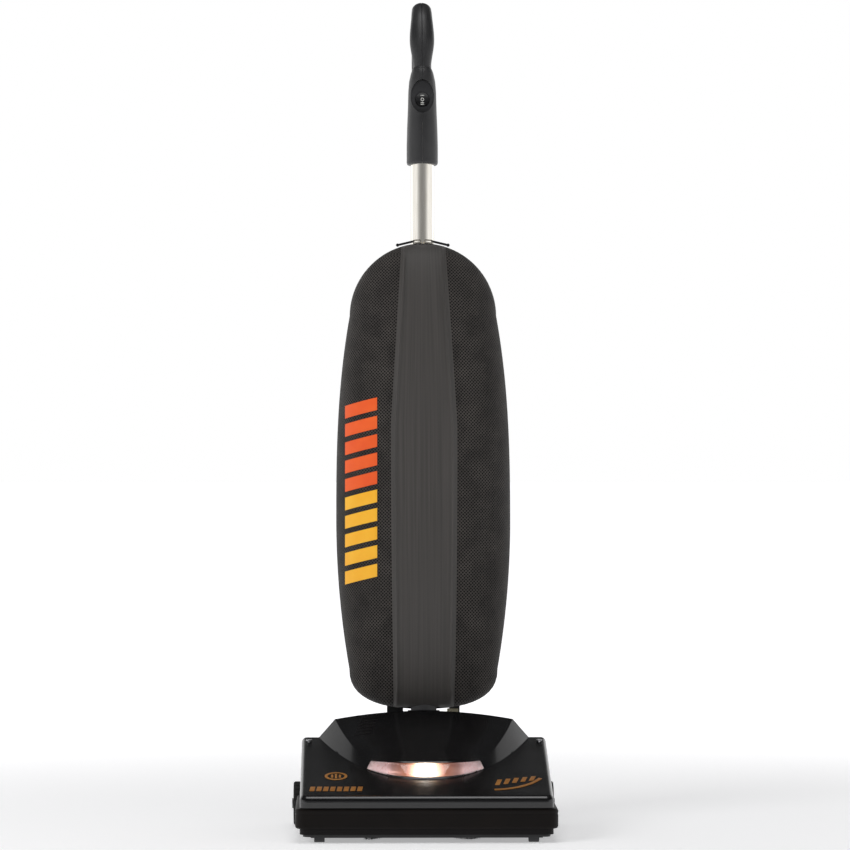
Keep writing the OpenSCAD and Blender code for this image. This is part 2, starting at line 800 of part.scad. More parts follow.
// Front of the bag at a share k of its half width, drawn in by some amount
function bag_pt(k, w, inset) =
  let (bulge = pow(max(0, 1 - pow(abs(k), 2.6)), 1 / 2.6))
  [
    k * max(1, bag_half(w) - inset),
    -gusset + (inset > 0 ? 0.01 : 0) - max(0, bag_crown(w) - gusset - inset) * bulge,
    w
  ];

function strip_half(w) =
  w > belly_w + 120 ? strip_top + (strip_mid - strip_top) * (bag_top - w) / (bag_top - belly_w - 120)
  : strip_mid - 4 * pow(max(0, belly_w + 120 - w) / (belly_w + 120 - bag_low), 2);

function strip_share(w) = min(1, strip_half(w) / max(1, bag_half(w)));

// Outline of one side and the crown, from the zip's end on the right to its end on the left
function side_heights(from) = [for (i = [0:10]) from + (arc_w - from) * i / 10];
function bag_edge(from, inset) = concat(
  [for (w = side_heights(from)) [bag_half(w) - inset, w]],
  [for (a = [7.5:7.5:172.5]) [(arc_r - inset) * cos(a), arc_w + (arc_r - inset) * sin(a)]],
  [for (i = [10:-1:0]) let (w = side_heights(from)[i]) [inset - bag_half(w), w]]
);

// The whole outline, closed along the bottom
function bag_foot(inset) = [for (i = [1:9])
  let (a = 180 * i / 10, c = cos(a), s = sin(a), p = 2 / 2.5)
  [
    -sign(c) * (corner_hw - inset) * pow(abs(c), p),
    corner_w - (corner_w - bag_low - inset) * pow(s, p)
  ]];

module bag_plan(inset) {
  polygon(concat(bag_edge(corner_w, inset), bag_foot(inset)));
}

module zip_band(from, inset) {
  polygon(concat(
    bag_edge(from, inset),
    [for (i = [len(bag_edge(from, 0)) - 1:-1:0]) bag_edge(from, inset + tape_t)[i]]
  ));
}

module bag_back_panel() {
  color("#1e1e20") in_handle() standing([0, 3]) bag_plan(2);
}

module bag_boot() {
  ks = [for (k = [-12:12]) sin(k * 90 / 12)];
  ws = [for (i = [0:9]) bag_low + 1 + (fold_w - gap - bag_low - 1) * pow(i / 9, 1.5)];
  color("#222224") in_handle() difference() {
    skin(
      [for (w = ws) [for (k = ks) bag_pt(k, w, 0)]],
      [for (w = ws) [for (k = ks) bag_pt(k, w, skin_t)]]
    );
    translate([0, fill_v, bag_low - 10]) cylinder(r = fill_r + gap, h = 200);
  }
}

module mesh_panel(side) {
  top = arc_w + sqrt(arc_r * arc_r - pow(strip_top + 6, 2));
  ws = [for (i = [0:20]) fold_w + gap + (top - fold_w - gap) * sin(i * 90 / 20)];
  cols = 8;
  k_at = function(w, j)
    let (a = asin(min(1, strip_share(w) + 0.01))) side * sin(a + (90 - a) * (side < 0 ? cols - j : j) / cols);
  color("#26262a") in_handle() skin(
    [for (w = ws) [for (j = [0:cols]) bag_pt(k_at(w, j), w, 0)]],
    [for (w = ws) [for (j = [0:cols]) bag_pt(k_at(w, j), w, skin_t)]]
  );
}

module mesh_panel_left() {
  mesh_panel(-1);
}

module mesh_panel_right() {
  mesh_panel(1);
}

module centre_strip() {
  ws = [for (i = [0:24]) fold_w + gap + (bag_top - 2 - fold_w - gap) * sin(i * 90 / 24)];
  color("#4b4947") in_handle() skin(
    [for (w = ws) [for (j = [-4:4]) bag_pt(strip_share(w) * j / 4, w, 0)]],
    [for (w = ws) [for (j = [-4:4]) bag_pt(strip_share(w) * j / 4, w, skin_t)]]
  );
}

module zipper_tape_back() {
  color("#161618") in_handle() standing([-6.6, -e]) zip_band(zip_end_w, 0.4);
}

module zipper_tape_front() {
  color("#161618") in_handle() standing([-gusset + 0.02, -7.2]) zip_band(fold_w + gap, 0.4);
}

module bag_dock() {
  v = [fill_v - fill_r - 2, fill_v + fill_r + 2];
  color("#2a2a2c") in_handle() difference() {
    span([-24, 24], v, [fill_top - 16, fill_top + 40]);
    translate([0, fill_v, fill_top - 20]) cylinder(r = fill_r, h = 20 + e);
    translate([0, fill_v, fill_top - 1]) cylinder(r = fill_r - 2, h = 36);
    standing([v[0] - 1, fill_v]) translate([0, fill_top + 18]) circle(r = 14);
  }
}

module bag_collar() {
  v = fill_v - fill_r - 2;
  color("burlywood") in_handle() standing([v - 3, v]) difference() {
    round_rect([-38, 38], [fill_top - 22, fill_top + 46], 6);
    translate([0, fill_top + 18]) circle(r = 14);
  }
}

module filter_bag() {
  v = fill_v - fill_r - 5;
  color("wheat") in_handle() standing([v - 22, v])
    round_rect([48 - belly, belly - 48], [fold_w + 20, fill_top + 24], 24);
}

module bag_clips() {
  color("#202022") in_handle() for (w = [arc_w - 180, arc_w + 30]) difference() {
    union() {
      translate([0, tube_v, w]) cylinder(r = tube_r + 3, h = 14);
      span([-14, 14], [3, 8], [w, w + 14]);
    }
    translate([0, tube_v, w - 1]) cylinder(r = tube_r + slip, h = 16);
    span([-30, 30], [-10, 3], [w - 1, w + 15]);
  }
}

// ---------------------------------------------------------------- handle: zip sliders

// Turns a piece drawn at the crown of the bag along the arc, to one side
module on_crown(side) {
  in_handle() translate([0, 0, arc_w]) rotate([0, side * slider_turn, 0]) translate([0, 0, arc_r])
    children();
}

module zipper_slider(side) {
  color("silver") on_crown(side) {
    // Plate over the teeth
    span([-5.4, 5.4], [-12.6, -1], [1.2, 2.8]);
    // Arch that carries the pull, with its pin
    standing([-8.2, -5.4]) difference() {
      round_rect([-slider_len / 2, slider_len / 2], [2.7, 7], 1.9);
      round_rect([1.75 - slider_len / 2, slider_len / 2 - 1.75], [2, 5.4], 1.2);
    }
    translate([side * pull_x, -8.1, pull_z]) rotate([90, 0, 0]) cylinder(r = 0.6, h = 1.9, $fn = 24);
  }
}

module zipper_slider_left() {
  zipper_slider(-1);
}

module zipper_slider_right() {
  zipper_slider(1);
}

// The pull hangs on the arch and lies outward along the crown
module zipper_pull(side) {
  color("gainsboro") on_crown(side) translate([side * pull_x, 0, pull_z])
    mirror([side < 0 ? 1 : 0, 0, 0]) rotate([0, 9, 0]) standing([-9.8, -8.5]) difference() {
      union() {
        round_rect([-1.5, 22], [-1.5, 1.5], 1.45);
        translate([22, 0]) circle(r = 2.2);
      }
      circle(r = 0.6 + run);
    }
}

module zipper_pull_left() {
  zipper_pull(-1);
}

module zipper_pull_right() {
  zipper_pull(1);
}

// ---------------------------------------------------------------- handle: battery

module battery_dock() {
  color("#1b1b1d") in_handle() difference() {
    union() {
      span([8 - battery_w / 2, battery_w / 2 - 8], [dock_v, dock_v + 4], dock_w);
      // Shelf under the pack, and the rails that hold it
      span([8 - battery_w / 2, battery_w / 2 - 8], [dock_v, pack_v + 20], [dock_w[0], pack_w - 1.5]);
      both_sides() span([rail_hw, rail_hw + 4], [dock_v, dock_v + 10], [pack_w, dock_w[1] - 10]);
      both_sides() span([rail_hw, rail_hw + 8], [dock_v + 7.5, dock_v + 10], [pack_w, dock_w[1] - 10]);
      // Clamps on the tube
      for (w = [dock_w[0] + 10, dock_w[1] - 34]) {
        translate([0, tube_v, w]) cylinder(r = tube_r + 2.9, h = 20);
        span([-14, 14], [tube_v, dock_v + 1], [w, w + 20]);
      }
    }
    translate([0, tube_v, dock_w[0] - 1]) cylinder(r = tube_r + slip, h = dock_w[1]);
  }
}

module battery_pack() {
  back = pack_v + battery_t;
  tall = [pack_w - 1, pack_w + battery_h + 1];
  color("#262628") in_handle() difference() {
    translate([0, 0, pack_w]) linear_extrude(battery_h)
      round_rect([-battery_w / 2, battery_w / 2], [pack_v, back], 9);
    // Grooves for the rails
    both_sides() span([rail_hw - 0.5, rail_hw + 4.5], [pack_v - 1, dock_v + 10.5], tall);
    both_sides() span([rail_hw - 0.5, rail_hw + 8.5], [dock_v + 7, dock_v + 10.5], tall);
    // Charging socket
    translate([0, pack_v + battery_t / 2, pack_w + 34])
      rod_x(socket_r, [battery_w / 2 - socket_depth, battery_w / 2 + 1]);
    // Carry slot for the fingers, and the pocket of the latch button under it
    span([-34, 34], [back - 14, back + 1], [pack_w + battery_h - 34, pack_w + battery_h - 16]);
    span([-14.4, 14.4], [back - 7, back + 1], latch_w + [-gap, gap]);
  }
}

module battery_latch() {
  back = pack_v + battery_t;
  color("#c8501e") in_handle() span([-14, 14], [back - 4, back + 2.4], latch_w);
}

// ---------------------------------------------------------------- handle: grip

// Centre line of the loop, as distance behind the tube's axis and height above the collar
loop_knots = [[0, -34], [2, 4], [9, 39], [24, 73], [46, 88], [62, 70], [60, 31], [44, -14], [26, -52], [6, -64]];
loop_half = [12, 12.3, 16.8, 14.6, 13.2, 13, 13.5, 13.5, 13, 12];
loop_steps = 4;

function spline(a, b, c, d, t) =
  0.5 * (2 * b + (c - a) * t + (2 * a - 5 * b + 4 * c - d) * t * t + (3 * b - a - 3 * c + d) * t * t * t);
function knot(list, i) = list[(i + len(list)) % len(list)];
function loop_at(list, s) =
  let (i = floor(s), t = s - i)
  spline(knot(list, i - 1), knot(list, i), knot(list, i + 1), knot(list, i + 2), t);

// One half of the loop as a closed sweep of half ellipses
module loop_half_solid(side) {
  rings = len(loop_knots) * loop_steps;
  arc = [for (a = [-90:22.5:90]) a];
  m = len(arc);
  points = [for (i = [0:rings - 1])
    let (
      s = i / loop_steps,
      c = loop_at(loop_knots, s),
      ahead = loop_at(loop_knots, s + 0.02) - loop_at(loop_knots, s - 0.02),
      n = [ahead[1], -ahead[0]] / norm(ahead),
      half = loop_at(loop_half, s)
    )
    each [for (a = arc)
      [side * half * cos(a), tube_v + c[0] + 11 * sin(a) * n[0], collar_w + c[1] + 11 * sin(a) * n[1]]]];
  ring = function(i, j) (i % rings) * m + j % m;
  quad = function(i, j) side < 0
    ? [ring(i, j), ring(i, j + 1), ring(i + 1, j + 1), ring(i + 1, j)]
    : [ring(i, j), ring(i + 1, j), ring(i + 1, j + 1), ring(i, j + 1)];
  faces = [for (i = [0:rings - 1]) for (j = [0:m - 1])
    each [[quad(i, j)[0], quad(i, j)[1], quad(i, j)[2]], [quad(i, j)[0], quad(i, j)[2], quad(i, j)[3]]]];
  polyhedron(points, faces, convexity = 8);
}

module grip_half(side) {
  color("#3a3a3a") in_handle() difference() {
    union() {
      loop_half_solid(side);
      translate([0, tube_v, 0]) rotate([0, 0, side > 0 ? -90 : 90]) rotate_extrude(angle = 180)
        polygon([
          [0, grip_low_w], [grip_r - 1.5, grip_low_w], [grip_r, grip_low_w + 3],
          [grip_r, grip_low_w + 26], [grip_r - 1.6, collar_w - 58], [grip_r - 2.3, collar_w - 32],
          [grip_r - 3.4, collar_w - 18], [grip_r - 6, collar_w - 6], [grip_r - 8.4, collar_w], [0, collar_w]
        ]);
    }
    translate([0, tube_v, grip_low_w - 1]) cylinder(r = tube_r + slip, h = tube_top - grip_low_w + 1);
    // Oval recess for the switch, and the pocket behind it
    standing([tube_v - 40, face_v]) switch_oval(0);
    standing([face_v - 1, face_v + 8.2]) translate([0, switch_w]) circle(r = barrel_r + 0.2);
    // Screw holes from the left
    for (p = grip_screw_at) translate([0, p[0], p[1]]) rod_x(1.6, [-40, 40]);
  }
}

grip_screw_at = [[tube_v + 54, collar_w + 81], [tube_v + 45, collar_w - 10], [tube_v + 2, collar_w - 22]];

module grip_left() {
  grip_half(-1);
}

module grip_right() {
  grip_half(1);
}

// Outline of the recess, drawn in by some amount
module switch_oval(inset) {
  translate([0, switch_w + recess_up]) scale([recess_half[0] - inset, recess_half[1] - inset]) circle(r = 1);
}

module switch_bezel() {
  color("#1a1a1c") in_handle() difference() {
    union() {
      standing([face_v - 1.2, face_v - 0.1]) switch_oval(0.2);
      standing([face_v - 0.2, face_v + 8]) translate([0, switch_w]) circle(r = barrel_r);
    }
    standing([face_v - 2, face_v + 1]) translate([0, switch_w]) circle(r = rocker_r + rocker_gap);
    standing([face_v - 0.1, face_v + 6.5]) translate([0, switch_w]) circle(r = barrel_r - 1);
  }
}

module rocker_switch() {
  color("#0e0e0f") in_handle() difference() {
    standing([face_v - 4.6, face_v + 2]) translate([0, switch_w]) circle(r = rocker_r);
    translate([0, face_v - dish_r - 3, switch_w]) rod_x(dish_r, [-12, 12]);
  }
}

base_shell();
hood();
bumper();
sole_plate();
sole_latch_left();
sole_latch_right();
headlight_lens();
headlight_reflector();
led_module();
motor_casing();
motor_stator();
motor_rotor();
fan_impeller();
fan_cover();
suction_duct();
blower_duct();
duct_saddle();
control_board();
hood_screws();
brush_roller();
brush_bristles();
brush_end_caps();
drive_belt();
front_wheel_left();
front_wheel_right();
wheel_axles();
rear_wheel_left();
rear_wheel_right();
rear_tyre_left();
rear_tyre_right();
pivot_bushes();
release_pedal();
pedal_spring();
yoke();
detent_plate();
swivel_drum();
fill_tube();
handle_tube();
bag_clips();
bag_back_panel();
bag_boot();
bag_dock();
bag_collar();
filter_bag();
zipper_tape_back();
zipper_tape_front();
mesh_panel_left();
mesh_panel_right();
centre_strip();
zipper_slider_left();
zipper_slider_right();
zipper_pull_left();
zipper_pull_right();
battery_dock();
battery_pack();
battery_latch();
grip_left();
grip_right();
switch_bezel();
rocker_switch();
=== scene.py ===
import json
import math

import bmesh
import bpy
from mathutils import Matrix, Vector, noise

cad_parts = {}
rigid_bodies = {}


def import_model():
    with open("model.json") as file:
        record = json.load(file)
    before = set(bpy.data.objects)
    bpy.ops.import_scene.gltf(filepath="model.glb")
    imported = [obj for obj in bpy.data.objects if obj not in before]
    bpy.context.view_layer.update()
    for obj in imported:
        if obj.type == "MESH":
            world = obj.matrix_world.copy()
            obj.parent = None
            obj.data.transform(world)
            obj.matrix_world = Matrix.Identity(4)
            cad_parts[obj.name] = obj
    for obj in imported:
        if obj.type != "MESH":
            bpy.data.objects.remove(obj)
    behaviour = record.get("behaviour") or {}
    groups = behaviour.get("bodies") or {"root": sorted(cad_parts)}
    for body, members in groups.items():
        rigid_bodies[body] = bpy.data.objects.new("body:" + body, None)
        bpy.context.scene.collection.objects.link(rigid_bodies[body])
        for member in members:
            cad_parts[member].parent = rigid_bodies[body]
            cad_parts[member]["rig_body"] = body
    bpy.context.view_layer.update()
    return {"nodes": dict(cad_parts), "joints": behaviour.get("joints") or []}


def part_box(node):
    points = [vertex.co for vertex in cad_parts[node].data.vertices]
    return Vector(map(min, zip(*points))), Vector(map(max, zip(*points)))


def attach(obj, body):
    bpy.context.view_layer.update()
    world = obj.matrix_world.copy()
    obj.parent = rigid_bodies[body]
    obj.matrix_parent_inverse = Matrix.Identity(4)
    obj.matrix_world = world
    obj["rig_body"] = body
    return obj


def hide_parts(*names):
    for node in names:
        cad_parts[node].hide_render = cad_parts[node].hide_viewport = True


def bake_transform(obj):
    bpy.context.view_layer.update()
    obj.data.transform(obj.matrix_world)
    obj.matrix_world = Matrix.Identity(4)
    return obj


# An upright vacuum cleaner on batteries: a black nozzle with a headlight, a chrome handle tube,
# a zipped cloth bag with a padded strip down its middle, and a looped grip with a rocker switch.
# Shapes are worked out in millimetres, in one of two frames, and then placed in the row frame.
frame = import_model()

MM = 0.001
LEAN = math.radians(5)  # how far the parked handle leans back
AXLE_D = 262  # the pivot's distance behind the front of the nozzle
pivot = Vector(next(j["pos_m"] for j in frame["joints"] if j["name"] == "handle_recline"))
# Base frame: x, d behind the front of the nozzle, z above the floor
BASE = Matrix.Translation((0, pivot.y - AXLE_D * MM, 0)) @ Matrix.Scale(MM, 4)
# Handle frame: x, v behind the pivot, w up the tube
HANDLE = Matrix.Translation(pivot) @ Matrix.Rotation(-LEAN, 4, "X") @ Matrix.Scale(MM, 4)


# ------------------------------------------------------------------ meshes

def grid(cols, rows, at, uv=None, loose=0.02):
    """A sheet of cols by rows faces. Its corner (i, j) goes to at(i, j); uv(i, j) gives its place in the flat."""
    bm = bmesh.new()
    bmesh.ops.create_grid(bm, x_segments=cols, y_segments=rows, size=0.5)
    spot = {v: (round((v.co.x + 0.5) * cols), round((v.co.y + 0.5) * rows)) for v in bm.verts}
    if uv:
        layer = bm.loops.layers.uv.new("UVMap")
        for f in bm.faces:
            for loop in f.loops:
                loop[layer].uv = uv(*spot[loop.vert])
    for v, (i, j) in spot.items():
        v.co = at(i, j)
    bmesh.ops.remove_doubles(bm, verts=bm.verts, dist=loose)
    bmesh.ops.dissolve_degenerate(bm, edges=bm.edges, dist=loose / 2)
    return bm


def face_out(bm):
    bmesh.ops.recalc_face_normals(bm, faces=bm.faces)
    return bm


def cap(bm):
    """Closes every open rim with one face, then points the faces outward."""
    rims = [e for e in bm.edges if e.is_boundary]
    if rims:
        bmesh.ops.holes_fill(bm, edges=rims, sides=0)
    return face_out(bm)


def sweep(path, ring, sides, closed=False, flat=(1, 0, 0)):
    """A bar along a path. ring(i, angle) gives how far out it reaches, along flat and in the path's plane."""
    n = len(path)
    flat = Vector(flat)

    def at(i, j):
        p, last, ahead = path[i % n], path[(i - 1) % n], path[(i + 1) % n]
        if not closed:
            last, ahead = path[max(i - 1, 0)], path[min(i + 1, n - 1)]
        side = (ahead - last).cross(flat).normalized()
        a = 2 * math.pi * j / sides
        reach = ring(i % n, a)
        return p + flat * reach[0] + side * reach[1]

    bm = grid(n if closed else n - 1, sides, at)
    return face_out(bm) if closed else cap(bm)


def round_ring(r):
    return lambda i, a: (r * math.cos(a), r * math.sin(a))


def lathe(profile, steps=64, turn=None):
    """Spins an open outline of (radius, height) points round the height axis; turn then lays it down."""
    bm = bmesh.new()
    verts = [bm.verts.new((r, 0, z)) for r, z in profile]
    edges = [bm.edges.new(pair) for pair in zip(verts, verts[1:])]
    bmesh.ops.spin(bm, geom=verts + edges, cent=(0, 0, 0), axis=(0, 0, 1), dvec=(0, 0, 0),
                   angle=2 * math.pi, steps=steps, use_merge=True, use_duplicate=False)
    bmesh.ops.remove_doubles(bm, verts=bm.verts, dist=0.002)
    bmesh.ops.dissolve_degenerate(bm, edges=bm.edges, dist=0.001)
    face_out(bm)
    if turn:
        bm.transform(turn)
    return bm


def block(x, y, z, edge=0.0, segments=2):
    """A box between three pairs of limits, with its edges bevelled."""
    bm = bmesh.new()
    bmesh.ops.create_cube(bm, size=1)
    size = Vector((x[1] - x[0], y[1] - y[0], z[1] - z[0]))
    middle = Vector((x[1] + x[0], y[1] + y[0], z[1] + z[0])) / 2
    bm.transform(Matrix.Translation(middle) @ Matrix.Diagonal(size).to_4x4())
    if edge:
        bmesh.ops.bevel(bm, geom=bm.edges, offset=edge, offset_type="OFFSET", affect="EDGES",
                        segments=segments, profile=0.5, material=-1)
    return bm


def plate(outline, v):
    """A flat shape, drawn across and up, made a slab between two depths."""
    bm = bmesh.new()
    face = bm.faces.new([bm.verts.new((x, v[0], z)) for x, z in outline])
    made = bmesh.ops.extrude_face_region(bm, geom=[face])
    for g in made["geom"]:
        if isinstance(g, bmesh.types.BMVert):
            g.co.y = v[1]
    return face_out(bm)


def join(*parts):
    """One mesh of several, which are used up."""
    whole = parts[0]
    for part in parts[1:]:
        carrier = bpy.data.meshes.new("carrier")
        part.to_mesh(carrier)
        part.free()
        whole.from_mesh(carrier)
        bpy.data.meshes.remove(carrier)
    return whole


def bare(name, bm, place=None):
    """An object of a mesh, in the scene, with no finish yet."""
    if place is not None:
        bm.transform(place)
    mesh = bpy.data.meshes.new(name)
    bm.to_mesh(mesh)
    bm.free()
    obj = bpy.data.objects.new(name, mesh)
    bpy.context.scene.collection.objects.link(obj)
    return obj


def settle(obj):
    """Makes the modifiers part of the mesh."""
    lit = bpy.context.evaluated_depsgraph_get()
    settled = bpy.data.meshes.new_from_object(obj.evaluated_get(lit))
    was = obj.data
    obj.modifiers.clear()
    obj.data = settled
    bpy.data.meshes.remove(was)
    settled.name = obj.name
    return obj


def modify(obj, kind, **settings):
    made = obj.modifiers.new(kind.title(), kind)
    for key, value in settings.items():
        setattr(made, key, value)
    return obj


def cut(obj, *cutters):
    """Takes the cutters' shapes out of the object."""
    for bm in cutters:
        tool = bare("cutter", bm)
        modify(obj, "BOOLEAN", object=tool, operation="DIFFERENCE", solver="EXACT")
        settle(obj)
        bpy.data.objects.remove(tool)
    return obj


def finish(obj, finishes, body=None, stands_for=(), sharp=35):
    """Gives the object its finishes, smooth faces with crisp corners, and the body it moves with."""
    for m in finishes if isinstance(finishes, (list, tuple)) else [finishes]:
        obj.data.materials.append(m)
    obj.data.shade_smooth()
    obj.data.set_sharp_from_angle(angle=math.radians(sharp))
    modify(obj, "WEIGHTED_NORMAL", keep_sharp=True)
    if body:
        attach(obj, body)
    if stands_for:
        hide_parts(*stands_for)
    return obj


def piece(name, bm, place, finishes, body, stands_for=(), sharp=35):
    return finish(bare(name, bm, place), finishes, body, stands_for, sharp)


# ------------------------------------------------------------------ finishes

def rgb(colour):
    """An sRGB hex colour as the linear one that shaders take."""
    parts = [int(colour[i:i + 2], 16) / 255 for i in (1, 3, 5)]
    return (*[p / 12.92 if p <= 0.04045 else ((p + 0.055) / 1.055) ** 2.4 for p in parts], 1)


def node(tree, kind, inputs=None, stops=None, **settings):
    """Adds a node. Each of its inputs is linked to a socket or set to a value."""
    made = tree.nodes.new(kind)
    for key, value in settings.items():
        setattr(made, key, value)
    for key, value in (inputs or {}).items():
        if isinstance(value, bpy.types.NodeSocket):
            tree.links.new(value, made.inputs[key])
        else:
            made.inputs[key].default_value = value
    if stops:
        ramp = made.color_ramp
        while len(ramp.elements) < len(stops):
            ramp.elements.new(0.5)
        for element, (place, colour) in zip(ramp.elements, stops):
            element.position = place
            element.color = rgb(colour) if isinstance(colour, str) else (colour, colour, colour, 1)
    return made


def blank(name, **sockets):
    """A new material, with values set on its shader. Returns it with its tree, shader and Object coordinates."""
    material = bpy.data.materials.new(name)
    material.use_nodes = True
    tree = material.node_tree
    shader = tree.nodes["Principled BSDF"]
    for key, value in sockets.items():
        shader.inputs[key.replace("_", " ")].default_value = value
    place = node(tree, "ShaderNodeTexCoord").outputs["Object"]
    return material, tree, shader, place


def moulded(name, colour, worn, rough, grain=0.9, depth=0.05, **sockets):
    """Moulded plastic or rubber: a fine grain of some size and depth in mm, with tone and gloss that drift."""
    material, tree, shader, place = blank(name, **sockets)
    drift = node(tree, "ShaderNodeTexNoise", {"Vector": place, "Scale": 22, "Detail": 5, "Roughness": 0.6})
    tone = node(tree, "ShaderNodeValToRGB", {"Fac": drift.outputs["Fac"]}, stops=[(0.35, colour), (0.75, worn)])
    gloss = node(tree, "ShaderNodeMapRange", {
        "Value": drift.outputs["Fac"], "From Min": 0.3, "From Max": 0.7,
        "To Min": rough * 0.88, "To Max": rough * 1.14})
    speckle = node(tree, "ShaderNodeTexNoise", {"Vector": place, "Scale": 1 / (grain * MM), "Detail": 2})
    bump = node(tree, "ShaderNodeBump", {
        "Height": speckle.outputs["Fac"], "Strength": 0.6, "Distance": depth * MM})
    for key, socket in {"Base Color": tone.outputs["Color"], "Roughness": gloss.outputs["Result"],
                        "Normal": bump.outputs["Normal"]}.items():
        tree.links.new(socket, shader.inputs[key])
    return material


def metal(name, colour, dull, rough, streak=(1, 1, 1), scale=160, depth=0.006):
    """Bare metal. Streaks run the way that streak is smallest, as a lathe, a roll or a polisher leaves them."""
    material, tree, shader, place = blank(name, Metallic=1.0)
    run = node(tree, "ShaderNodeMapping", {"Vector": place, "Scale": streak})
    lines = node(tree, "ShaderNodeTexNoise", {"Vector": run.outputs["Vector"], "Scale": scale, "Detail": 4})
    tone = node(tree, "ShaderNodeValToRGB", {"Fac": lines.outputs["Fac"]}, stops=[(0.3, dull), (0.65, colour)])
    gloss = node(tree, "ShaderNodeMapRange", {
        "Value": lines.outputs["Fac"], "From Min": 0.3, "From Max": 0.7,
        "To Min": rough * 1.3, "To Max": rough * 0.8})
    bump = node(tree, "ShaderNodeBump", {"Height": lines.outputs["Fac"], "Strength": 0.5, "Distance": depth * MM})
    for key, socket in {"Base Color": tone.outputs["Color"], "Roughness": gloss.outputs["Result"],
                        "Normal": bump.outputs["Normal"]}.items():
        tree.links.new(socket, shader.inputs[key])
    return material


def woven(name, dark, light, pitch, rough=0.85, sheen=0.2, depth=0.35):
    """Woven cloth on the flat's own coordinates: two sets of threads that cross, pitch mm apart."""
    material, tree, shader, place = blank(name, Sheen_Weight=sheen, Sheen_Roughness=0.5, Roughness=rough,
                                          Specular_IOR_Level=0.25)
    flat = node(tree, "ShaderNodeUVMap", uv_map="UVMap").outputs["UV"]
    warp = node(tree, "ShaderNodeTexWave", {"Vector": flat, "Scale": 0.5 / (pitch * MM) / 3.14159, "Distortion": 0.3,
                                           "Detail": 1}, bands_direction="X")
    weft = node(tree, "ShaderNodeTexWave", {"Vector": flat, "Scale": 0.5 / (pitch * MM) / 3.14159, "Distortion": 0.3,
                                           "Detail": 1}, bands_direction="Y")
    cross = node(tree, "ShaderNodeMath", {0: warp.outputs["Fac"], 1: weft.outputs["Fac"]}, operation="MULTIPLY")
    tone = node(tree, "ShaderNodeValToRGB", {"Fac": cross.outputs["Value"]}, stops=[(0.1, dark), (0.8, light)])
    bump = node(tree, "ShaderNodeBump", {"Height": cross.outputs["Value"], "Strength": 0.7, "Distance": depth * MM})
    tree.links.new(tone.outputs["Color"], shader.inputs["Base Color"])
    tree.links.new(bump.outputs["Normal"], shader.inputs["Normal"])
    return material


# Polished black ABS: deep gloss with a faint haze of fine scratches, clearest where light grazes it
gloss_black = moulded("polished black ABS", "#101011", "#161618", 0.2, grain=6, depth=0.02,
                      Coat_Weight=0.3, Coat_Roughness=0.09)
# Grained polypropylene: even, quiet and matt, for the parts underneath
grained_black = moulded("grained black polypropylene", "#100e0e", "#161414", 0.58, grain=1.2, depth=0.08,
                        Specular_IOR_Level=0.18)
# Soft vinyl: brown-black and matt, with a slight bloom
guard_vinyl = moulded("soft black vinyl", "#0f0c0b", "#161210", 0.5, grain=1.6, depth=0.06,
                      Specular_IOR_Level=0.14)
# Glass-filled nylon: charcoal, with a dry surface
filled_nylon = moulded("glass filled nylon", "#19191b", "#252527", 0.5, grain=1.0, depth=0.07)
# Satin ABS: dark grey with a broad soft highlight
satin_grey = moulded("satin grey ABS", "#262627", "#303031", 0.4, grain=1.1, depth=0.025, Specular_IOR_Level=0.42)
# Battery case: charcoal ABS with spark-eroded grain
case_grey = moulded("spark grained ABS case", "#242426", "#303032", 0.5, grain=1.4, depth=0.09)
# Orange ABS of the latch button
latch_orange = moulded("orange ABS", "#c2501d", "#d0602a", 0.36, grain=1.2, depth=0.03)
# Black rocker: glossy nylon
rocker_black = moulded("glossy black nylon", "#0c0c0d", "#141416", 0.22, grain=4, depth=0.01)
# Moulded dark ducts inside the machine
duct_black = moulded("moulded duct plastic", "#202022", "#2a2a2c", 0.5, grain=1.5, depth=0.06)
# Acetal bushes: milky and slightly waxy
acetal = moulded("acetal", "#cfc9ba", "#ddd8cb", 0.38, grain=1.5, depth=0.02)
# Rubber of tyres and belt: soft black with a grey bloom
tyre_rubber = moulded("black tyre rubber", "#151515", "#222222", 0.68, grain=1.0, depth=0.1)
# Thermoplastic wheels: hard dark grey, scuffed lighter
wheel_plastic = moulded("scuffed wheel plastic", "#1d1d1f", "#323234", 0.48, grain=1.2, depth=0.08)
# Enamelled zinc pulls: thin black enamel with a soft shine
pull_enamel = moulded("black enamelled zinc", "#17171a", "#242428", 0.3, grain=2, depth=0.02)
# Off-white marks printed on the rocker
mark_white = moulded("off-white print", "#b9b9b4", "#cdcdc8", 0.5, grain=1, depth=0.01)
# Printed orange and yellow inks: slightly raised screen print
ink_orange = moulded("orange screen print", "#e4500f", "#ee6420", 0.55, grain=1.5, depth=0.05)
ink_yellow = moulded("yellow screen print", "#f2ab16", "#f8bd33", 0.55, grain=1.5, depth=0.05)
ink_gold = moulded("gold transfer foil", "#bd7a34", "#dc9a4e", 0.34, grain=2, depth=0.02, Metallic=0.35)
# Chrome plate on drawn tube: a mirror with very faint draw lines up the tube
chrome = metal("polished chrome plate", "#f6f2ea", "#ebe6dc", 0.1, streak=(1, 1, 0.02), scale=420, depth=0.002)
# Pressed and turned steels: brushed grey, the lines along the sheet
pressed_steel = metal("pressed zinc plated steel", "#b9b7b2", "#8f8c86", 0.3, streak=(0.08, 1, 1), scale=300)
turned_steel = metal("turned steel", "#a9a9ab", "#7d7d80", 0.26, streak=(1, 0.1, 0.1), scale=500)
bright_zinc = metal("bright nickel plate", "#d5d0c4", "#aaa498", 0.16, scale=200)
cast_alloy = metal("cast aluminium", "#96979a", "#6d6e72", 0.42, scale=700, depth=0.05)
cream_metal = metal("yellow passivated steel", "#cdc6ae", "#a59f88", 0.3, streak=(1, 1, 0.1), scale=240)
copper = metal("copper windings", "#b4683a", "#7d4022", 0.35, streak=(0.04, 1, 1), scale=900, depth=0.12)
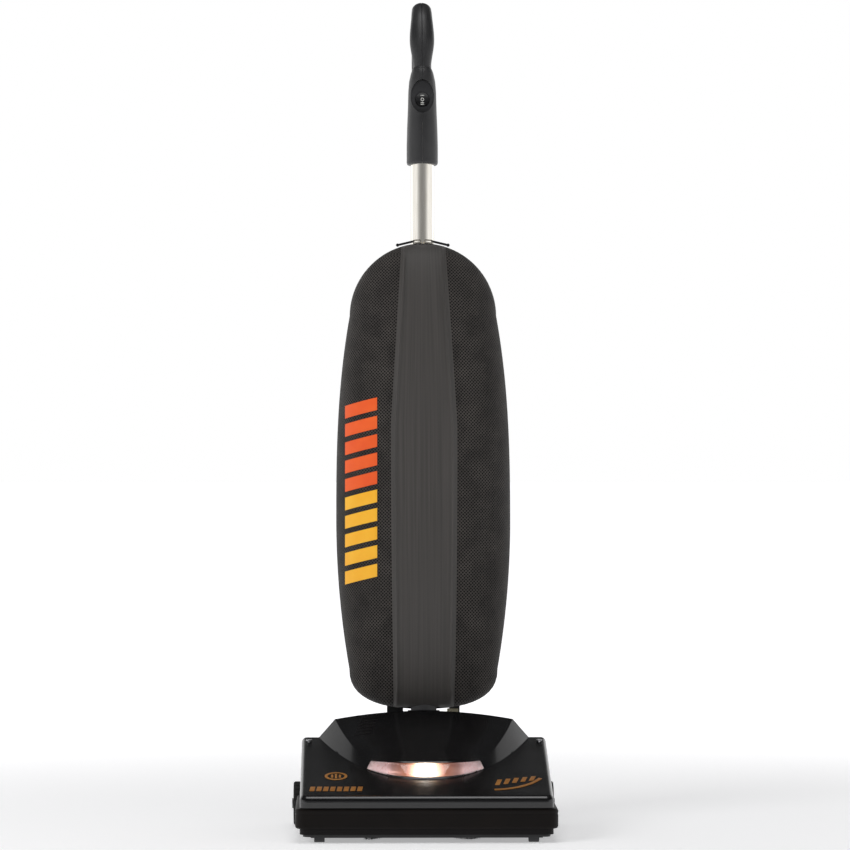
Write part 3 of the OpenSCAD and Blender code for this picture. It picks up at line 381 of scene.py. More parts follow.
# Paper of the filter bag: cream, fibrous and matt
paper = moulded("cream filter paper", "#cdbf9f", "#ddd1b6", 0.9, grain=2.2, depth=0.12)
# Powder coat on the sole plate: black, with a fine orange-peel
black_paint = moulded("black powder coat", "#161617", "#222223", 0.45, grain=1.5, depth=0.05)
# Card of the bag's collar
card = moulded("grey-brown card", "#9d835c", "#b3986f", 0.85, grain=1.6, depth=0.08)
# Circuit board: green solder mask over glass cloth
board_green = moulded("green solder mask", "#0f3b20", "#15502c", 0.32, grain=1.2, depth=0.03)
# Nylon bristles: black, slightly shiny
bristle_nylon = moulded("black nylon bristle", "#101011", "#222224", 0.4, grain=0.8, depth=0.05)
# Woven back cloth and tape
back_cloth = woven("black polyester canvas", "#111113", "#2a2a2d", 1.3)
zip_cloth = woven("zip tape twill", "#0f0f11", "#262629", 1.2, sheen=0.1)
# Edge binding: folded black tape
binding = woven("black binding tape", "#141314", "#262525", 1.6, sheen=0.05)


def spacer_mesh():
    """Spacer mesh: an open net of diagonal cells 3.2 mm apart over a black backing, the holes near-black from the
    backing and from painted shade in their hollows.
    """
    material, tree, shader, place = blank("black spacer mesh", Roughness=0.8, Sheen_Weight=0.05,
                                          Sheen_Roughness=0.4, Specular_IOR_Level=0.2)
    flat = node(tree, "ShaderNodeUVMap", uv_map="UVMap").outputs["UV"]
    turned = node(tree, "ShaderNodeMapping", {"Vector": flat, "Rotation": (0, 0, math.radians(45)),
                                              "Scale": (1, 1, 1)})
    cells = node(tree, "ShaderNodeTexVoronoi", {"Vector": turned.outputs["Vector"], "Scale": 1 / (3.2 * MM),
                                                "Randomness": 0.06}, voronoi_dimensions="2D")
    hole = node(tree, "ShaderNodeMapRange", {"Value": cells.outputs["Distance"], "From Min": 0.27, "From Max": 0.46},
                interpolation_type="SMOOTHSTEP")
    drift = node(tree, "ShaderNodeTexNoise", {"Vector": flat, "Scale": 30, "Detail": 3})
    thread = node(tree, "ShaderNodeValToRGB", {"Fac": drift.outputs["Fac"]},
                  stops=[(0.35, "#3a3735"), (0.7, "#4c4845")])
    # The holes' near-black is the black backing's colour deepened with painted shade in the hollows of the cells
    colour = node(tree, "ShaderNodeMix", {0: hole.outputs["Result"], 6: rgb("#060606"), 7: thread.outputs["Color"]},
                  data_type="RGBA")
    bump = node(tree, "ShaderNodeBump", {"Height": hole.outputs["Result"], "Strength": 0.8, "Distance": 0.5 * MM})
    tree.links.new(colour.outputs[2], shader.inputs["Base Color"])
    tree.links.new(bump.outputs["Normal"], shader.inputs["Normal"])
    return material


def strip_vinyl():
    """Padded vinyl: warm dark grey, brushed up and down with fine streaks, over a soft foam."""
    material, tree, shader, place = blank("warm grey padded vinyl", Roughness=0.55, Sheen_Weight=0.12,
                                          Sheen_Roughness=0.4, Specular_IOR_Level=0.35)
    flat = node(tree, "ShaderNodeUVMap", uv_map="UVMap").outputs["UV"]
    long = node(tree, "ShaderNodeMapping", {"Vector": flat, "Scale": (1, 0.012, 1)})
    streaks = node(tree, "ShaderNodeTexNoise", {"Vector": long.outputs["Vector"], "Scale": 1 / (3 * MM), "Detail": 3})
    tone = node(tree, "ShaderNodeValToRGB", {"Fac": streaks.outputs["Fac"]},
                stops=[(0.3, "#3a3836"), (0.7, "#464341")])
    pores = node(tree, "ShaderNodeTexVoronoi", {"Vector": flat, "Scale": 1 / (1.6 * MM)}, voronoi_dimensions="2D")
    bump = node(tree, "ShaderNodeBump", {"Height": pores.outputs["Distance"], "Strength": 0.4, "Distance": 0.2 * MM})
    tree.links.new(tone.outputs["Color"], shader.inputs["Base Color"])
    tree.links.new(bump.outputs["Normal"], shader.inputs["Normal"])
    return material


def painted_glow_reflector():
    """Vacuum-coated reflector with the LEDs on, drawn as a painted glow: warm white in the middle, pink-brown towards
    the ends, stronger low in the dish than high up.
    """
    material, tree, shader, place = blank("lit headlight reflector", Roughness=0.3, Metallic=0.4)
    parts = node(tree, "ShaderNodeSeparateXYZ", {"Vector": place})
    across = node(tree, "ShaderNodeMath", {0: parts.outputs["X"]}, operation="ABSOLUTE")
    out = node(tree, "ShaderNodeMath", {0: across.outputs["Value"], 1: 1 / 0.072}, operation="MULTIPLY")
    glow = node(tree, "ShaderNodeValToRGB", {"Fac": out.outputs["Value"]},
                stops=[(0.0, "#fffaf2"), (0.16, "#ffe2c8"), (0.34, "#b77a64"), (0.6, "#b08c88"), (0.7, "#d0b6ba"), (1.0, "#e2d2d6")])
    # Painted glow strength: full in the middle, weaker towards the ends, and stronger at the dish's foot than at its
    # top
    power = node(tree, "ShaderNodeValToRGB", {"Fac": out.outputs["Value"]},
                 stops=[(0.0, 1.0), (0.1, 0.7), (0.2, 0.2), (0.36, 0.07), (0.55, 0.05), (0.68, 0.1), (1.0, 0.1)])
    height = node(tree, "ShaderNodeMapRange", {"Value": parts.outputs["Z"], "From Min": 0.078, "From Max": 0.094,
                                               "To Min": 9.0, "To Max": 3.6}, interpolation_type="SMOOTHSTEP")
    power = node(tree, "ShaderNodeMath", {0: power.outputs["Color"], 1: height.outputs["Result"]},
                 operation="MULTIPLY")
    tree.links.new(glow.outputs["Color"], shader.inputs["Emission Color"])
    tree.links.new(power.outputs["Value"], shader.inputs["Emission Strength"])
    tree.links.new(glow.outputs["Color"], shader.inputs["Base Color"])
    return material


def lens_clear(name, rough, tint):
    """Polycarbonate lens: clear in the middle, frosted where it is ribbed."""
    material, tree, shader, place = blank(name, Transmission_Weight=1.0, IOR=1.49)
    haze = node(tree, "ShaderNodeTexNoise", {"Vector": place, "Scale": 300, "Detail": 2})
    gloss = node(tree, "ShaderNodeMapRange", {"Value": haze.outputs["Fac"], "To Min": rough * 0.7,
                                              "To Max": rough * 1.3})
    tone = node(tree, "ShaderNodeValToRGB", {"Fac": haze.outputs["Fac"]}, stops=[(0.3, tint), (0.7, "#fffdfb")])
    tree.links.new(gloss.outputs["Result"], shader.inputs["Roughness"])
    tree.links.new(tone.outputs["Color"], shader.inputs["Base Color"])
    return material


def led_board():
    """The strip of LEDs: white parts that shine, on a white board."""
    material, tree, shader, place = blank("lit white LEDs", Roughness=0.4, Emission_Strength=3.0)
    speck = node(tree, "ShaderNodeTexNoise", {"Vector": place, "Scale": 500})
    tone = node(tree, "ShaderNodeValToRGB", {"Fac": speck.outputs["Fac"]}, stops=[(0.3, "#fff0d8"), (0.7, "#fff8ec")])
    tree.links.new(tone.outputs["Color"], shader.inputs["Base Color"])
    tree.links.new(tone.outputs["Color"], shader.inputs["Emission Color"])
    return material


mesh_cloth = spacer_mesh()
padded_vinyl = strip_vinyl()
# The headlight reflector's finish is a painted glow standing in for the LEDs' light in the dish
reflector_painted_glow = painted_glow_reflector()
clear_lens = lens_clear("clear polycarbonate", 0.05, "#fbf4ee")
frosted_lens = lens_clear("frosted polycarbonate", 0.3, "#f0dcd6")
led_light = led_board()


# ------------------------------------------------------------------ CAD nodes that keep their shape

def softened(name, material, edge, segments=2):
    """The CAD node again, with its triangles merged into whole faces and its edges rounded by edge mm."""
    bm = bmesh.new()
    bm.from_mesh(frame["nodes"][name].data)
    bmesh.ops.remove_doubles(bm, verts=bm.verts, dist=0.00001)
    bmesh.ops.dissolve_limit(bm, angle_limit=math.radians(1), verts=bm.verts, edges=bm.edges)
    obj = bare(name + "_made", bm)
    modify(obj, "BEVEL", width=edge * MM, segments=segments, limit_method="ANGLE",
           angle_limit=math.radians(38), profile=0.5, material=-1, harden_normals=False)
    settle(obj)
    body = frame["nodes"][name]["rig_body"]
    return finish(obj, material, body, [name])


for name, material, edge in [
    ("base_shell", grained_black, 0.6), ("sole_plate", black_paint, 0.4),
    ("sole_latch_left", turned_steel, 0.5), ("sole_latch_right", turned_steel, 0.5),
    ("hood_screws", turned_steel, 0.5), ("brush_end_caps", duct_black, 0.6),
    ("motor_casing", cast_alloy, 0.6), ("fan_cover", duct_black, 0.8), ("suction_duct", duct_black, 0.8),
    ("blower_duct", duct_black, 0.8), ("duct_saddle", filled_nylon, 0.8),
    ("pivot_bushes", acetal, 0.4), ("release_pedal", filled_nylon, 0.8),
    ("yoke", filled_nylon, 1.2), ("detent_plate", cream_metal, 0.4), ("swivel_drum", filled_nylon, 1.0),
    ("bag_clips", filled_nylon, 0.7), ("bag_dock", duct_black, 0.8), ("bag_collar", card, 0.4),
    ("battery_dock", filled_nylon, 0.8), ("battery_latch", latch_orange, 0.8),
    ("wheel_axles", turned_steel, 0.6), ("zipper_slider_left", bright_zinc, 0.35),
    ("zipper_slider_right", bright_zinc, 0.35), ("zipper_pull_left", pull_enamel, 0.35),
    ("zipper_pull_right", pull_enamel, 0.35), ("rear_wheel_left", wheel_plastic, 0.7),
    ("rear_wheel_right", wheel_plastic, 0.7), ("front_wheel_left", wheel_plastic, 0.8),
    ("front_wheel_right", wheel_plastic, 0.8), ("brush_roller", duct_black, 0.6),
    ("switch_bezel", filled_nylon, 0.5), ("rocker_switch", rocker_black, 0.4),
]:
    softened(name, material, edge)

for name, material in {
    "led_module": led_light, "motor_stator": copper, "motor_rotor": copper, "fan_impeller": duct_black,
    "control_board": board_green, "drive_belt": tyre_rubber, "pedal_spring": turned_steel,
    "fill_tube": duct_black,
}.items():
    own = frame["nodes"][name].data.materials
    own.clear()
    own.append(material)


# ------------------------------------------------------------------ nozzle: hood

HOOD_HW, NOZZLE_L, GUARD_TOP = 162, 230, 45
FOOT_HW, TOP_HW, FOOT_D, TOP_D = 139, 118, 67, 86
LENS_HW = 74
LENS_SLANT = 6  # how much narrower the window is at its top than at its foot, on each side


def slope_z(d):
    return 59.4 + 0.2591 * d


def foot_d(x):
    return FOOT_D + 163 * (abs(x) / FOOT_HW) ** 2.5


def crest_d(x):
    return TOP_D + 144 * (abs(x) / TOP_HW) ** 3.2


def edge_z(d):
    return 98 + 0.402 * max(0, d - 118)


def ridge_z(d):
    return 98 + 56 * (d - TOP_D) / 144


def band(x, t):
    """A point on the steep band round the raised cover, from its foot at 0 to its crest at 1."""
    f, c = foot_d(x), crest_d(x)
    low, high = slope_z(f), edge_z(c)
    return Vector((x, f + (c - f) * t, low + (high - low) * t))


def hood_z(x, d):
    """Height of the hood over a point of its plan."""
    f, c = foot_d(x), crest_d(x)
    if d <= f:
        return slope_z(d)
    if d < c:
        return band(x, (d - f) / (c - f)).z
    reach = TOP_HW * (max(d - TOP_D, 1e-6) / 144) ** (1 / 3.2)
    k = min(1, abs(x) / reach)
    return edge_z(d) + (ridge_z(d) - edge_z(d)) * (1 - k * k)


CREASE_R, CORNER_R = 7, 10


def rolled(x, d):
    """How far the hood's surface drops as it rolls over into the front and side walls."""
    if abs(x) > HOOD_HW - CORNER_R and d < CORNER_R:
        edge = CORNER_R - math.hypot(abs(x) - HOOD_HW + CORNER_R, CORNER_R - d)
    else:
        edge = min(HOOD_HW - abs(x), d)
    short = CREASE_R - min(CREASE_R, max(0, edge))
    return CREASE_R - math.sqrt(max(0, CREASE_R ** 2 - short ** 2))


def on_hood(x, d, lift=0.0):
    return Vector((x, d, hood_z(x, d) + lift))


def hood():
    half = [0, 6, 12, 18, 24, 30, 36, 42, 48, 54, 60, 66, 70, LENS_HW, 79, 85, 91, 97, 103, 108, 113, TOP_HW,
            122, 126, 130, 135, FOOT_HW, 144, 149, 152, 154.4, 156.6, 158.4, 159.9, 161, 161.7, HOOD_HW]
    xs = [-x for x in half[:0:-1]] + half
    nose = [0, 0.3, 1.0, 2.1, 3.6, 5.4, CREASE_R]
    lower = [i / 12 for i in range(1, 13)]
    steep = [0.07, 0.3, 0.5, 0.7, 0.93, 1]
    upper = [i / 14 for i in range(1, 15)]

    def at(i, j):
        x = xs[i]
        if abs(x) == LENS_HW and len(nose) + len(lower) <= j < len(nose) + len(lower) + len(steep):
            x += math.copysign(LENS_SLANT, x) * (0.5 - steep[j - len(nose) - len(lower)])
        f, c = foot_d(x), crest_d(x)
        start = CORNER_R - math.sqrt(max(0, CORNER_R ** 2 - max(0, abs(x) - HOOD_HW + CORNER_R) ** 2))
        n = len(nose)
        if j < n:
            d = start + nose[j]
        elif j < n + len(lower):
            d = start + CREASE_R + (min(f, NOZZLE_L) - start - CREASE_R) * lower[j - n]
        elif j < n + len(lower) + len(steep):
            d = min(NOZZLE_L, f + (c - f) * steep[j - n - len(lower)])
        else:
            from_d = min(c, NOZZLE_L)
            d = from_d + (NOZZLE_L - from_d) * upper[j - n - len(lower) - len(steep)]
        p = on_hood(x, d)
        p.z -= rolled(x, d)
        return p

    bm = grid(len(xs) - 1, len(nose) + len(lower) + len(steep) + len(upper) - 1, at)
    face_out(bm)
    if sum(f.normal.z for f in bm.faces) < 0:
        bmesh.ops.reverse_faces(bm, faces=bm.faces)
    rim = [e for e in bm.edges if e.is_boundary]
    walls = bmesh.ops.extrude_edge_only(bm, edges=rim)["geom"]
    for v in walls:
        if isinstance(v, bmesh.types.BMVert):
            v.co.z = GUARD_TOP + 0.3
    face_out(bm)
    # The two creases of the raised cover, rounded
    creases = []
    for e in bm.edges:
        a, b = (v.co for v in e.verts)
        if abs(a.x) > 116 or abs(b.x) > 116 or a.z < 60 or abs(a.x - b.x) < 1:
            continue
        for curve in (foot_d, crest_d):
            if abs(a.y - curve(a.x)) < 0.05 and abs(b.y - curve(b.x)) < 0.05:
                creases.append(e)
    bmesh.ops.bevel(bm, geom=creases, offset=1.3, offset_type="OFFSET", affect="EDGES", segments=3,
                    profile=0.5, material=-1, clamp_overlap=True)
    # Opening of the headlight
    hole = []
    for f in bm.faces:
        c = f.calc_center_median()
        t = (c.y - foot_d(c.x)) / (crest_d(c.x) - foot_d(c.x))
        if abs(c.x) < LENS_HW - 0.6 and 0.08 < t < 0.92 and f.normal.z > 0.1 and c.z > 70:
            hole.append(f)
    bmesh.ops.delete(bm, geom=hole, context="FACES")
    # Notch at the back for the duct
    for co, no in (((-37, 0, 0), (1, 0, 0)), ((37, 0, 0), (1, 0, 0)), ((0, 0, 118), (0, 0, 1))):
        rear = [f for f in bm.faces if f.calc_center_median().y > NOZZLE_L - 0.3 and abs(f.normal.z) < 0.2]
        geom = rear + [e for f in rear for e in f.edges] + [v for f in rear for v in f.verts]
        bmesh.ops.bisect_plane(bm, geom=list(dict.fromkeys(geom)), plane_co=co, plane_no=no, dist=0.001)
    notch = [f for f in bm.faces if f.calc_center_median().y > NOZZLE_L - 0.3 and abs(f.normal.z) < 0.2
             and abs(f.calc_center_median().x) < 37 and f.calc_center_median().z < 118]
    bmesh.ops.delete(bm, geom=notch, context="FACES")
    obj = bare("hood_shell", bm, BASE)
    modify(obj, "SOLIDIFY", thickness=2.4 * MM, offset=-1, use_even_offset=True, use_rim=True)
    settle(obj)
    return finish(obj, gloss_black, "base", ["hood"], sharp=28)


hood()


def lens():
    """The headlight's window fills the band; its ends are ribbed."""
    cols, ts = 148, [0.09, 0.2, 0.35, 0.5, 0.65, 0.8, 0.91]

    def at(i, j):
        x = (-1 + 2 * i / cols) * (LENS_HW - 0.5 + LENS_SLANT * (0.5 - ts[j]))
        rib = 0.4 * (i % 2) * min(1, max(0, (abs(x) - 46) / 6))
        bow = 1.1 * math.sin(math.pi * ts[j])
        return band(x, ts[j]) + Vector((0, -0.74, 0.67)) * (rib + bow - 0.3)

    bm = grid(cols, len(ts) - 1, at)
    for f in bm.faces:
        f.material_index = int(abs(f.calc_center_median().x) > 50)
    if sum(f.normal.z for f in bm.faces) < 0:
        bmesh.ops.reverse_faces(bm, faces=bm.faces)
    obj = bare("headlight_window", bm, BASE)
    modify(obj, "SOLIDIFY", thickness=1.8 * MM, offset=-1)
    return finish(obj, [clear_lens, frosted_lens], "base", ["headlight_lens"], sharp=50)


lens()


def reflector():
    """A long dish behind the window."""
    cols, rows = 72, 12

    def at(i, j):
        t = 0.06 + 0.88 * j / rows
        k = -1 + 2 * i / cols
        x = k * (LENS_HW - 1.5 + LENS_SLANT * (0.5 - t))
        ends = max(0, 1 - k ** 4) ** 0.5
        deep = 3.4 + 9 * math.sin(math.pi * j / rows) ** 0.7 * ends
        return band(x, t) + Vector((0, 0.74, -0.67)) * deep

    bm = grid(cols, rows, at)
    if sum(f.normal.z for f in bm.faces) < 0:
        bmesh.ops.reverse_faces(bm, faces=bm.faces)
    obj = bare("headlight_dish", bm, BASE)
    modify(obj, "SOLIDIFY", thickness=0.8 * MM, offset=-1)
    # The dish's light is a painted glow in its finish, not a lamp
    return finish(obj, reflector_painted_glow, "base", ["headlight_reflector"], sharp=60)


reflector()


def bumper():
    """Vinyl guard round the front and sides, with full round edges."""
    low, high = (c.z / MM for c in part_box("bumper"))
    back = NOZZLE_L - 20
    outer, inner = [], []
    for side in (-1, 1):
        arc = [math.radians(90 * k / 10) for k in range(11)]
        leg = [back - (back - 13) * k / 12 for k in range(13)]
        out = [(168, d) for d in leg] + [(155 + 13 * math.cos(a), 13 - 13 * math.sin(a)) for a in arc[1:]]
        inn = [(162.1, d) for d in leg] + [(152.1 + 10 * math.cos(a), 13 - 10.1 * math.sin(a)) for a in arc[1:]]
        out += [(155 - 155 * k / 16, 0) for k in range(1, 17)]
        inn += [(152.1 - 152.1 * k / 16, 2.9) for k in range(1, 17)]
        if side < 0:
            outer = [(-x, d) for x, d in out]
            inner = [(-x, d) for x, d in inn]
        else:
            outer += out[-2::-1]
            inner += inn[-2::-1]
    r = 3.2
    turn = [math.radians(18 * k) for k in range(6)]
    section = [(0, high), (0.45, high)]
    section += [(0.45 + 0.55 * math.sin(a), high - r + r * math.cos(a)) for a in turn[1:]]
    section += [(1, high - r - 2), (0.9, high - r - 3), (0.9, high - r - 4), (1, high - r - 5)]
    section += [(0.45 + 0.55 * math.cos(a), low + r - r * math.sin(a)) for a in turn]
    section += [(0.45, low), (0, low)]

    def at(i, j):
        a, z = section[j % len(section)]
        p, q = inner[i], outer[i]
        return Vector((p[0] + (q[0] - p[0]) * a, p[1] + (q[1] - p[1]) * a, z))

    bm = cap(grid(len(outer) - 1, len(section), at))
    return piece("vinyl_guard", bm, BASE, guard_vinyl, "base", ["bumper"], sharp=30)


bumper()


# ------------------------------------------------------------------ nozzle: marks on the hood

def on_surface(name, outline, surface, place, material, body, lift=0.3, steps=6):
    """A thin print whose four-cornered cells follow a surface. outline(s, t) gives a point of the plan."""
    cols, rows = steps if isinstance(steps, tuple) else (steps, steps)
    bm = grid(cols, rows, lambda i, j: surface(*outline(i / cols, j / rows), lift), loose=0.001)
    obj = bare(name, bm, place)
    modify(obj, "SOLIDIFY", thickness=0.25 * MM, offset=0)
    return finish(obj, material, body)


def ring_cell(cx, cd, r_in, r_out, a0, a1):
    def outline(s, t):
        a = a0 + (a1 - a0) * s
        r = r_in + (r_out - r_in) * t
        return cx + r * math.cos(a), cd + r * math.sin(a)
    return outline


def bar_cell(x0, x1, d0, d1, slant=0.0):
    return lambda s, t: (x0 + (x1 - x0) * s + slant * t, d0 + (d1 - d0) * t)


RING_X, RING_D = -116, 78
on_surface("hood_ring", ring_cell(RING_X, RING_D, 11, 14.6, 0, 2 * math.pi), on_hood, BASE, ink_gold, "base",
           steps=(48, 1))
for n, (x, reach) in enumerate([(-5, 5.5), (0, 8), (5, 5.5)]):
    on_surface(f"hood_ring_bar_{n}", bar_cell(RING_X + x - 1.4, RING_X + x + 1.4, RING_D - reach, RING_D + reach),
               on_hood, BASE, ink_gold, "base", steps=(1, 4))
for n in range(8):
    x = -150 + 8.7 * n
    on_surface(f"hood_dash_{n}", bar_cell(x, x + 6.3, 22, 38, 1.5), on_hood, BASE, ink_gold, "base", steps=(2, 3))
on_surface("hood_stroke", ring_cell(82, 98, 69, 74, math.radians(-86), math.radians(-24)), on_hood, BASE, ink_gold,
           "base", steps=(30, 1))

for n in range(5):
    x = 88 + 11 * n
    on_surface(f"hood_speed_bar_{n}", bar_cell(x, x + 6, 44 + 4 * n, 64 + 3 * n, 4.0), on_hood, BASE, ink_gold, "base",
               steps=(2, 3))
for n in range(6):
    d = 178 + 8 * n
    on_surface(f"hood_vent_rib_{n}", bar_cell(-92 + 2 * n, -70 + 2 * n, d, d + 2), on_hood, BASE,
               grained_black, "base", lift=0.25, steps=(6, 1))


# ------------------------------------------------------------------ nozzle: wheels and brush

ACROSS = Matrix.Rotation(math.pi / 2, 4, "Y")


def tyre(side):
    """Rear tyre: a soft ring with cross grooves in its tread."""
    low, high = (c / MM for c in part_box("rear_tyre_" + side))
    middle = (low + high) / 2
    r, hw = (high.z - low.z) / 2, (high.x - low.x) / 2
    section = [(r - 6, -hw), (r - 2.6, -hw), (r - 1.2, -hw + 0.5), (r - 0.3, -hw + 1.6), (r, -hw + 3), (r, -1.6),
               (r - 1.2, -1.1), (r - 1.2, 1.1), (r, 1.6), (r, hw - 3), (r - 0.3, hw - 1.6), (r - 1.2, hw - 0.5),
               (r - 2.6, hw), (r - 6, hw)]
    steps = 192

    def at(i, j):
        rad, x = section[j % len(section)]
        groove = 1.1 if i % 8 in (0, 1) and rad > r - 0.5 else 0
        a = 2 * math.pi * i / steps
        return Vector((middle.x + x, middle.y + (rad - groove) * math.cos(a),
                       middle.z + (rad - groove) * math.sin(a)))

    bm = face_out(grid(steps, len(section), at))
    piece("tyre_" + side, bm, Matrix.Scale(MM, 4), tyre_rubber, "rear_wheel_" + side, ["rear_tyre_" + side], sharp=30)


tyre("left")
tyre("right")


def bristles():
    """Two spiral rows of tufts, each a small brush of stiff bristles."""
    low, high = (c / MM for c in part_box("brush_bristles"))
    middle = (low + high) / 2
    reach = (high.z - low.z) / 2
    first, count = low.x + 2.5, 56
    pitch = (high.x - 2.5 - first) / (count - 1)
    whole = bmesh.new()
    for n in range(count):
        for half in (0, math.pi):
            turn = half + math.radians(270) * n / (count - 1)
            for k in range(5):
                splay = math.radians(72 * k + 31 * n)
                tip = Vector((1.5 * math.cos(splay), 1.5 * math.sin(splay), reach - 0.4 + 0.3 * math.sin(3.1 * k + n)))
                root = Vector((0.7 * math.cos(splay), 0.7 * math.sin(splay), 16.1))
                lean = Vector((0, 0, 1)).rotation_difference(tip - root).to_matrix().to_4x4()
                place = (Matrix.Translation((first + pitch * n, middle.y, middle.z)) @ Matrix.Rotation(-turn, 4, "X")
                         @ Matrix.Translation((root + tip) / 2) @ lean)
                bmesh.ops.create_cone(whole, cap_ends=True, segments=4, radius1=0.55, radius2=0.35,
                                      depth=(tip - root).length, matrix=place)
    piece("bristle_rows", whole, Matrix.Scale(MM, 4), bristle_nylon, "brush", ["brush_bristles"])


bristles()


# ------------------------------------------------------------------ handle: tube

TUBE_V, TUBE_R, TUBE_LOW, TUBE_TOP = 22, 16, 92, 870

piece("chrome_tube", lathe([(14.5, TUBE_LOW), (15.6, TUBE_LOW), (TUBE_R, TUBE_LOW + 0.6), (TUBE_R, 300),
                            (TUBE_R, 600), (TUBE_R, TUBE_TOP - 0.6), (15.6, TUBE_TOP), (14.5, TUBE_TOP),
                            (14.5, TUBE_LOW)], 96, Matrix.Translation((0, TUBE_V, 0))),
      HANDLE, chrome, "handle", ["handle_tube"], sharp=20)


# ------------------------------------------------------------------ bag

BELLY, ARC_R, ARC_W, BELLY_W = 116, 97.98, 602.02, 330
CORNER_W, CORNER_HW, BAG_LOW, BAG_TOP = 130, 98.5, 76.5, 700
GUSSET, BAG_DEPTH, FOLD_W = 14, 98, 170
STRIP_TOP, STRIP_MID = 29, 44


def bag_half(w):
    """Half width of the bag at a height."""
    if w >= ARC_W:
        return math.sqrt(max(0, ARC_R ** 2 - (w - ARC_W) ** 2))
    if w >= BELLY_W:
        return BELLY - (BELLY - ARC_R) * ((w - BELLY_W) / (ARC_W - BELLY_W)) ** 2.7
    if w >= CORNER_W:
        return BELLY - (BELLY - CORNER_HW) * ((BELLY_W - w) / (BELLY_W - CORNER_W)) ** 2
    return CORNER_HW * max(0, 1 - ((CORNER_W - w) / (CORNER_W - BAG_LOW)) ** 2.5) ** 0.4


def bag_crown(w):
    """How far forward the bag's middle stands at a height."""
    u = (w - BELLY_W) / (BAG_TOP - BELLY_W if w > BELLY_W else BELLY_W - BAG_LOW)
    return GUSSET + (BAG_DEPTH - GUSSET) * max(0, 1 - abs(u) ** 2.4) ** (1 / 2.4)


def sag(x, w):
    """Shallow hollows and swells of the cloth, in mm, deepest away from the seams."""
    slow = noise.noise(Vector((x / 60, w / 95, 0.3)))
    quick = noise.noise(Vector((x / 24, w / 44, 4.1)))
    return 1.5 * slow + 0.6 * quick


def strip_half(w):
    """Half width of the padded strip at a height."""
    if w > 450:
        return STRIP_TOP + (STRIP_MID - STRIP_TOP) * (BAG_TOP - w) / 250
    return STRIP_MID - 4 * ((450 - w) / (450 - BAG_LOW)) ** 2


def strip_share(w):
    return min(1, strip_half(w) / max(1, bag_half(w)))


def bag_at(k, w, lift=0.0):
    """A point of the bag's front at a share k of its half width, stood off by lift mm."""
    k = max(-1, min(1, k))
    bulge = (1 - abs(k) ** 2.6) ** (1 / 2.6)
    x = k * max(1, bag_half(w))
    soft = min(1, 6 * (1 - abs(k))) * min(1, 12 * max(0, abs(k) - strip_share(w))) * min(1, (BAG_TOP - w) / 60)
    deep = GUSSET + (bag_crown(w) - GUSSET) * bulge + max(0, soft) * sag(x, w)
    return Vector((x + lift * k ** 3, -deep - lift * (1 - abs(k) ** 4), w))


def rows_between(low, high, n):
    """Heights that crowd towards the bottom and the top, where the bag curves fastest."""
    return [low + (high - low) * (0.5 - 0.5 * math.cos(math.pi * i / n)) for i in range(n + 1)]


def lengths(points):
    total, out = 0, [0]
    for a, b in zip(points, points[1:]):
        total += (b - a).length
        out.append(total)
    return out


def bend_with_door(obj):
    """Bakes the object's place into its mesh; the bag's front is hinged low down."""
    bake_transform(obj)


def flat_area(bm):
    return sum(f.calc_area() for f in bm.faces) * MM * MM


def side_panel(side, replaced):
    """One side of the bag's front, cut from spacer mesh."""
    ws = rows_between(BAG_LOW + 1, BAG_TOP - 1.2, 90)
    cols = 26

    def share(w, j):
        under = 1 - min(1, max(0, (w - 682) / 12))  # near the crown the panel runs on beneath the strip
        a = math.asin((strip_share(w) - 0.012) * under)
        return side * math.sin(a + (math.pi / 2 - a) * j / cols)

    across = [lengths([bag_at(share(w, j), w) for j in range(cols + 1)]) for w in ws]
    bm = grid(cols, len(ws) - 1, lambda i, j: bag_at(share(ws[j], i), ws[j]),
              uv=lambda i, j: (across[j][i] * MM, ws[j] * MM))
    if sum(f.normal.y for f in bm.faces) > 0:
        bmesh.ops.reverse_faces(bm, faces=bm.faces)
    area = flat_area(bm)
    name = "mesh_side_" + ("left" if side < 0 else "right")
    obj = bare(name, bm, HANDLE)
    modify(obj, "SOLIDIFY", thickness=2.6 * MM, offset=-1)
    settle(obj)
    finish(obj, mesh_cloth, None, replaced, sharp=60)
    bend_with_door(obj)
    return obj


side_panel(-1, ["mesh_panel_left", "bag_boot"])
side_panel(1, ["mesh_panel_right"])


def padded_strip():
    """The padded strip: a foam-backed band with a raised ridge and a stitched channel inside each edge."""
    ws = rows_between(BAG_LOW + 1.5, BAG_TOP - 3.5, 110)
    cols = 44

    def at(i, j):
        w = ws[j]
        t = 2 * i / cols - 1
        short = max(0, w - ws[-1] + 7)
        half = min(strip_half(w), bag_half(w)) - 7 + math.sqrt(49 - min(7, short) ** 2)
        to_edge = (1 - abs(t)) * half
        end = min(1, (BAG_TOP - 2 - w) / 8, (w - BAG_LOW) / 5)
        lift = 2.0 * min(1, to_edge / 2.2) ** 0.5
        lift += 1.9 * math.exp(-((to_edge - 5.6) / 1.6) ** 2)
        lift -= 1.5 * math.exp(-((to_edge - 2.4) / 0.9) ** 2)
        lift += 0.8 * math.cos(min(1, abs(t) / 0.8) * math.pi / 2) + 0.35 * noise.noise(Vector((t * 2, w / 70, 9)))
        return bag_at(half / max(1, bag_half(w)) * t, w, max(0.2, lift * max(0, end) ** 0.5 + 0.4))

    bm = grid(cols, len(ws) - 1, at, uv=lambda i, j: ((2 * i / cols - 1) * 0.044, ws[j] * MM))
    if sum(f.normal.y for f in bm.faces) > 0:
        bmesh.ops.reverse_faces(bm, faces=bm.faces)
    obj = bare("padded_strip", bm, HANDLE)
    modify(obj, "SOLIDIFY", thickness=2.8 * MM, offset=-1)
    settle(obj)
    finish(obj, padded_vinyl, None, ["centre_strip"], sharp=60)
    bend_with_door(obj)


padded_strip()


